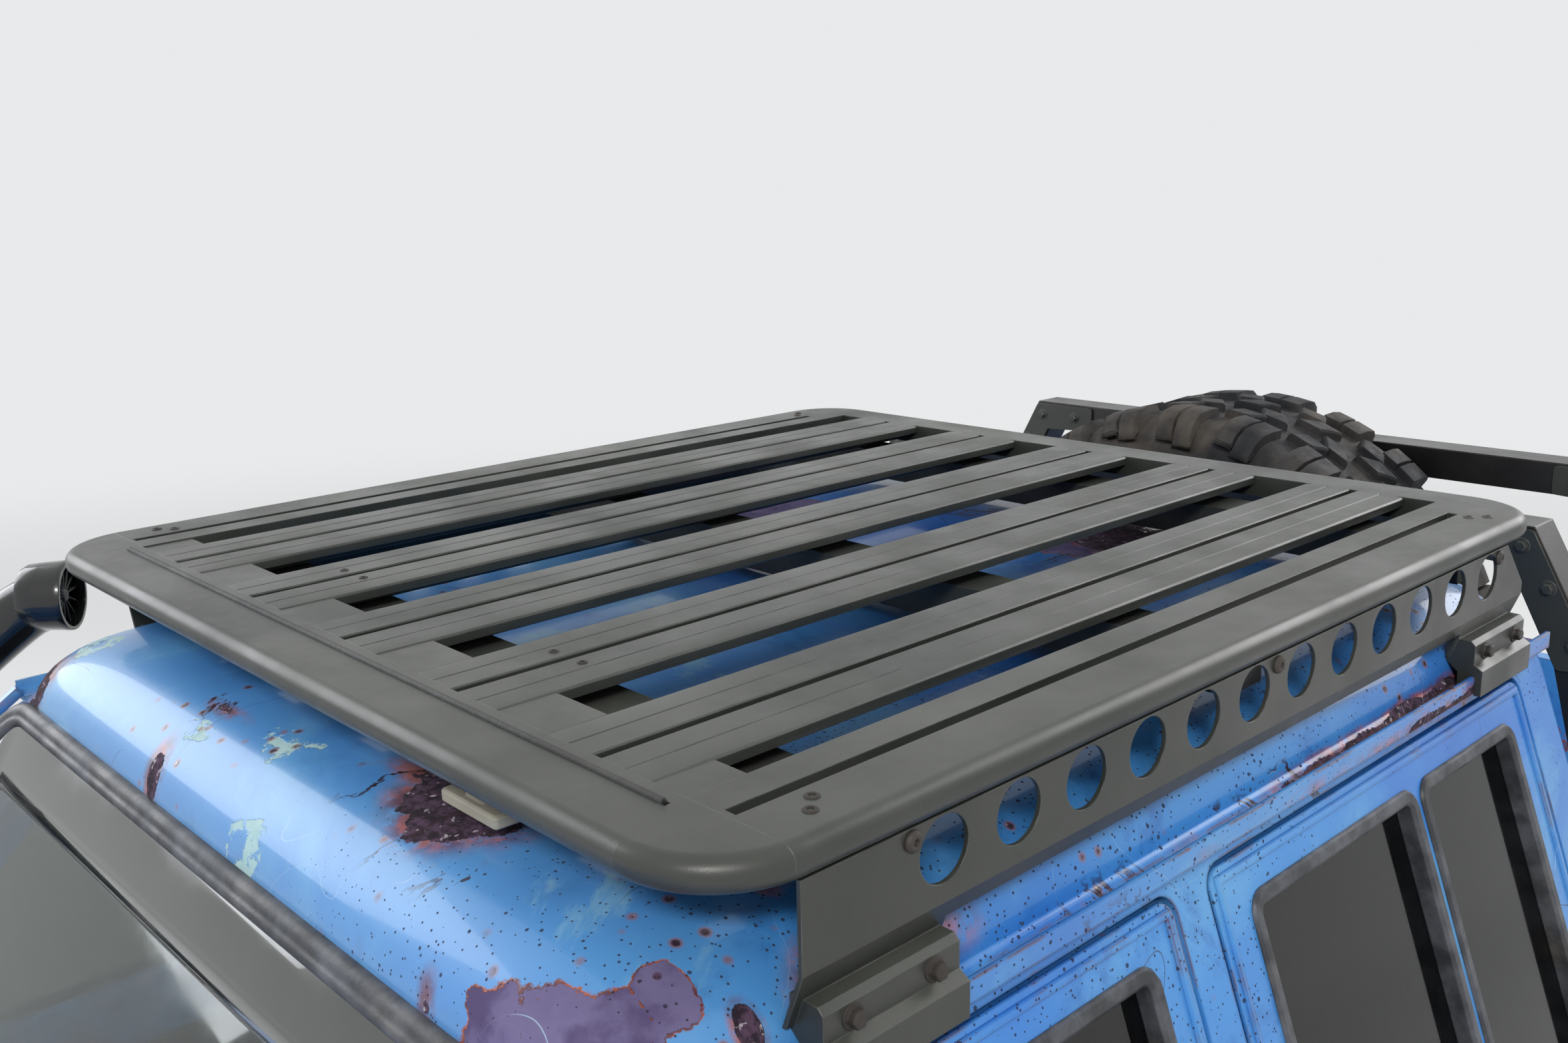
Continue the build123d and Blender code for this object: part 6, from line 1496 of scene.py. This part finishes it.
bead_line = corner_arcs([(-0.540, 1.075), (0.540, 1.075), (0.540, 1.285), (-0.540, 1.285)], 0.03, 6)
section = [(-0.010, -0.001), (-0.005, 0.0042), (0.005, 0.0042), (0.010, -0.001)]
beads.band(bead_line, lambda p, up: Vector((p[0], 2.3260 + up, p[1])), section)
beads.make("gate_bead", "patina", "tailgate", 60)

# Bed rack: gussets at the bends, bolts and weld beads
rack_trim, welds, plate = Piece(), Piece(), 0.0043
gusset = [(0.655, 1.885), (0.604, 1.878), (0.535, 2.008), (0.430, 2.013), (0.430, 2.058), (0.560, 2.058)]
for y in (0.868, 1.300):
    for side in (-1, 1):
        outline = corner_arcs([(side * x, z) for x, z in gusset[::side]], 0.006, 2)
        # A plate on the hoop's front face and one on its rear face, each with its bolts outward
        for near, far, way in ((y - 0.0045 + plate, y - 0.0045, -1), (y + 0.0602, y + 0.0602 + plate, 1)):
            rack_trim.rings([[Vector((p.x, flat_y, p.y)) for p in outline] for flat_y in (near, far)])
            for x, z in ((0.622, 1.915), (0.585, 1.985), (0.470, 2.036), (0.548, 2.036)):
                rack_trim.bolt((side * x, far, z), (0, way, 0), 0.013, 0.006)
        for dy in (-0.045, 0.045):
            for x in (0.770, 0.732):
                rack_trim.bolt((side * x, y + 0.030 + dy, 1.4275), (0, 0, 1), 0.015, 0.007)
for side in (-1, 1):
    for y in (0.885, 0.911, 1.317, 1.343):
        rack_trim.bolt((side * 0.6632, y, 1.806), (side, 0, 0), 0.014, 0.007)
for x in (-0.135, 0.055):
    for y in (1.265, 1.395):
        rack_trim.bolt((x, y, 0.9463), (0, 0, 1), 0.017, 0.009)
rack_trim.make("rack_gussets", "powder", "chassis")
# Weld beads at the spare wheel's foot, along both sides of its post, and round its hub plate
weld_start, weld_end, weld_r = -0.095, 0.015, 0.0625
for y in (1.2995, 1.3605):
    bead = [weld_start + (weld_end - weld_start) * i / 16 for i in range(17)]
    welds.pipe([(x, y, 0.9475 + 0.0008 * (i % 2)) for i, x in enumerate(bead)], 0.0048, 8)
turns = [math.tau * i / 40 for i in range(40)]
ring = [(spare_centre.x + weld_r * math.cos(t), 1.2965, spare_centre.z + weld_r * math.sin(t)) for t in turns]
welds.pipe(ring, 0.0045, 8, True)
welds.make("weld_beads", "spring", "chassis", 70)

# Brakes: a caliper on each steered hub, and cooling ribs round the rear drums
for name, side in (("left", 1), ("right", -1)):
    caliper = Piece()
    caliper.block((side * 0.710, -1.398, 0.460), (0.060, 0.056, 0.090), 0.012, 0.006)
    for z in (0.440, 0.482):
        caliper.rod((side * 0.700, -1.396, z), (side * 0.672, -1.396, z), 0.019, 20)
    caliper.make("caliper_" + name, "cast", "knuckle_" + name)
drums = Piece()
for side in (-1, 1):
    for number in range(4):
        rib_x = side * (0.668 + number * 0.014)
        drums.hoop((rib_x, rear_axle_y, axle_z), (1, 0, 0), 0.1395, 0.1440, 0.003, 56)
drums.make("drum_ribs", "cast", "chassis")


# Stage, light and camera
def staging():
    """The plain pale floor, the surroundings and three soft lights."""
    floor = bpy.data.materials.new("stage_floor")
    floor.use_nodes = True
    tree = floor.node_tree
    surface = tree.nodes["Principled BSDF"]
    surface.inputs["Base Color"].default_value = rgb(232, 231, 229)
    surface.inputs["Roughness"].default_value = 0.8
    # The floor fades into the pale surroundings with its distance from the object
    coords = tree.nodes.new("ShaderNodeTexCoord")
    reach = tree.nodes.new("ShaderNodeVectorMath")
    reach.operation = "LENGTH"
    fade = tree.nodes.new("ShaderNodeMapRange")
    fade.interpolation_type = "SMOOTHSTEP"
    fade.inputs["From Min"].default_value = 4.5
    fade.inputs["From Max"].default_value = 13.0
    clear = tree.nodes.new("ShaderNodeBsdfTransparent")
    blend = tree.nodes.new("ShaderNodeMixShader")
    tree.links.new(coords.outputs["Object"], reach.inputs[0])
    tree.links.new(reach.outputs["Value"], fade.inputs["Value"])
    tree.links.new(fade.outputs[0], blend.inputs[0])
    tree.links.new(surface.outputs[0], blend.inputs[1])
    tree.links.new(clear.outputs[0], blend.inputs[2])
    tree.links.new(blend.outputs[0], tree.nodes["Material Output"].inputs["Surface"])
    mesh = bpy.data.meshes.new("floor")
    half = 40.0
    corners = [(-half, -half, 0), (half, -half, 0), (half, half, 0), (-half, half, 0)]
    mesh.from_pydata(corners, [], [(0, 1, 2, 3)])
    item = bpy.data.objects.new("floor", mesh)
    bpy.context.scene.collection.objects.link(item)
    mesh.materials.append(floor)
    # Surroundings that shade from grey to pale, and a plain pale one for camera, glass and reflections
    world = bpy.data.worlds.new("studio")
    bpy.context.scene.world = world
    world.use_nodes = True
    tree = world.node_tree
    tree.nodes.clear()
    output = tree.nodes.new("ShaderNodeOutputWorld")
    background = tree.nodes.new("ShaderNodeBackground")
    place = tree.nodes.new("ShaderNodeTexCoord")
    split = tree.nodes.new("ShaderNodeSeparateXYZ")
    ramp = tree.nodes.new("ShaderNodeValToRGB")
    tree.links.new(place.outputs["Generated"], split.inputs[0])
    tree.links.new(split.outputs["Z"], ramp.inputs[0])
    ramp.color_ramp.elements[0].color = rgb(196, 196, 194)
    ramp.color_ramp.elements[1].color = rgb(236, 240, 246)
    tree.links.new(ramp.outputs[0], background.inputs["Color"])
    background.inputs["Strength"].default_value = 0.60
    pale = tree.nodes.new("ShaderNodeBackground")
    pale.inputs["Color"].default_value = rgb(236, 237, 238)
    pale.inputs["Strength"].default_value = 0.97
    path = tree.nodes.new("ShaderNodeLightPath")
    seen = path.outputs["Is Camera Ray"]
    for ray in ("Is Transmission Ray", "Is Glossy Ray"):
        either = tree.nodes.new("ShaderNodeMath")
        either.operation = "MAXIMUM"
        tree.links.new(seen, either.inputs[0])
        tree.links.new(path.outputs[ray], either.inputs[1])
        seen = either.outputs[0]
    blend = tree.nodes.new("ShaderNodeMixShader")
    tree.links.new(seen, blend.inputs[0])
    tree.links.new(background.outputs[0], blend.inputs[1])
    tree.links.new(pale.outputs[0], blend.inputs[2])
    tree.links.new(blend.outputs[0], output.inputs[0])
    # Columns: name, place, aimed at, size, power, colour
    for name, place, target, size, power, colour in (
        ("key", (5.5, -6.0, 7.5), (0, -0.2, 1.3), 3.4, 520, (1.0, 0.98, 0.95)),
        ("fill", (-7.0, -3.0, 5.0), (0, 0, 1.2), 5.0, 260, (0.93, 0.96, 1.0)),
        ("back", (2.0, 8.0, 6.0), (0, 0.8, 1.5), 5.0, 340, (1.0, 1.0, 1.0)),
    ):
        lamp = bpy.data.lights.new(name, "AREA")
        lamp.energy = power
        lamp.shape = "RECTANGLE"
        lamp.size = size
        lamp.size_y = 0.9 if name == "key" else size
        lamp.color = colour
        item = bpy.data.objects.new(name, lamp)
        item.location = place
        item.rotation_euler = (Vector(target) - Vector(place)).to_track_quat("-Z", "Y").to_euler()
        bpy.context.scene.collection.objects.link(item)


def camera():
    """The photograph's own viewpoint, worked out from the platform's corners and planks."""
    yaw, pitch, roll = (math.radians(a) for a in (47.30, -13.74, -1.492))
    ahead = Vector((-math.sin(yaw) * math.cos(pitch), math.cos(yaw) * math.cos(pitch), math.sin(pitch)))
    right = Vector((math.cos(yaw), math.sin(yaw), 0))
    up = right.cross(ahead)
    turned_right = math.cos(roll) * right + math.sin(roll) * up
    turned_up = -math.sin(roll) * right + math.cos(roll) * up
    data = bpy.data.cameras.new("photo_view")
    # The focal length that the fit gave for a 36 mm wide sensor
    data.sensor_width = 36.0
    data.lens = 33.31
    data.clip_start = 0.02
    item = bpy.data.objects.new("photo_view", data)
    item.matrix_world = Matrix((
        (turned_right.x, turned_up.x, -ahead.x, 1.234),
        (turned_right.y, turned_up.y, -ahead.y, -1.072),
        (turned_right.z, turned_up.z, -ahead.z, 2.538),
        (0, 0, 0, 1),
    ))
    bpy.context.scene.collection.objects.link(item)
    bpy.context.scene.camera = item


staging()
camera()
bpy.context.scene.view_settings.view_transform = "Standard"
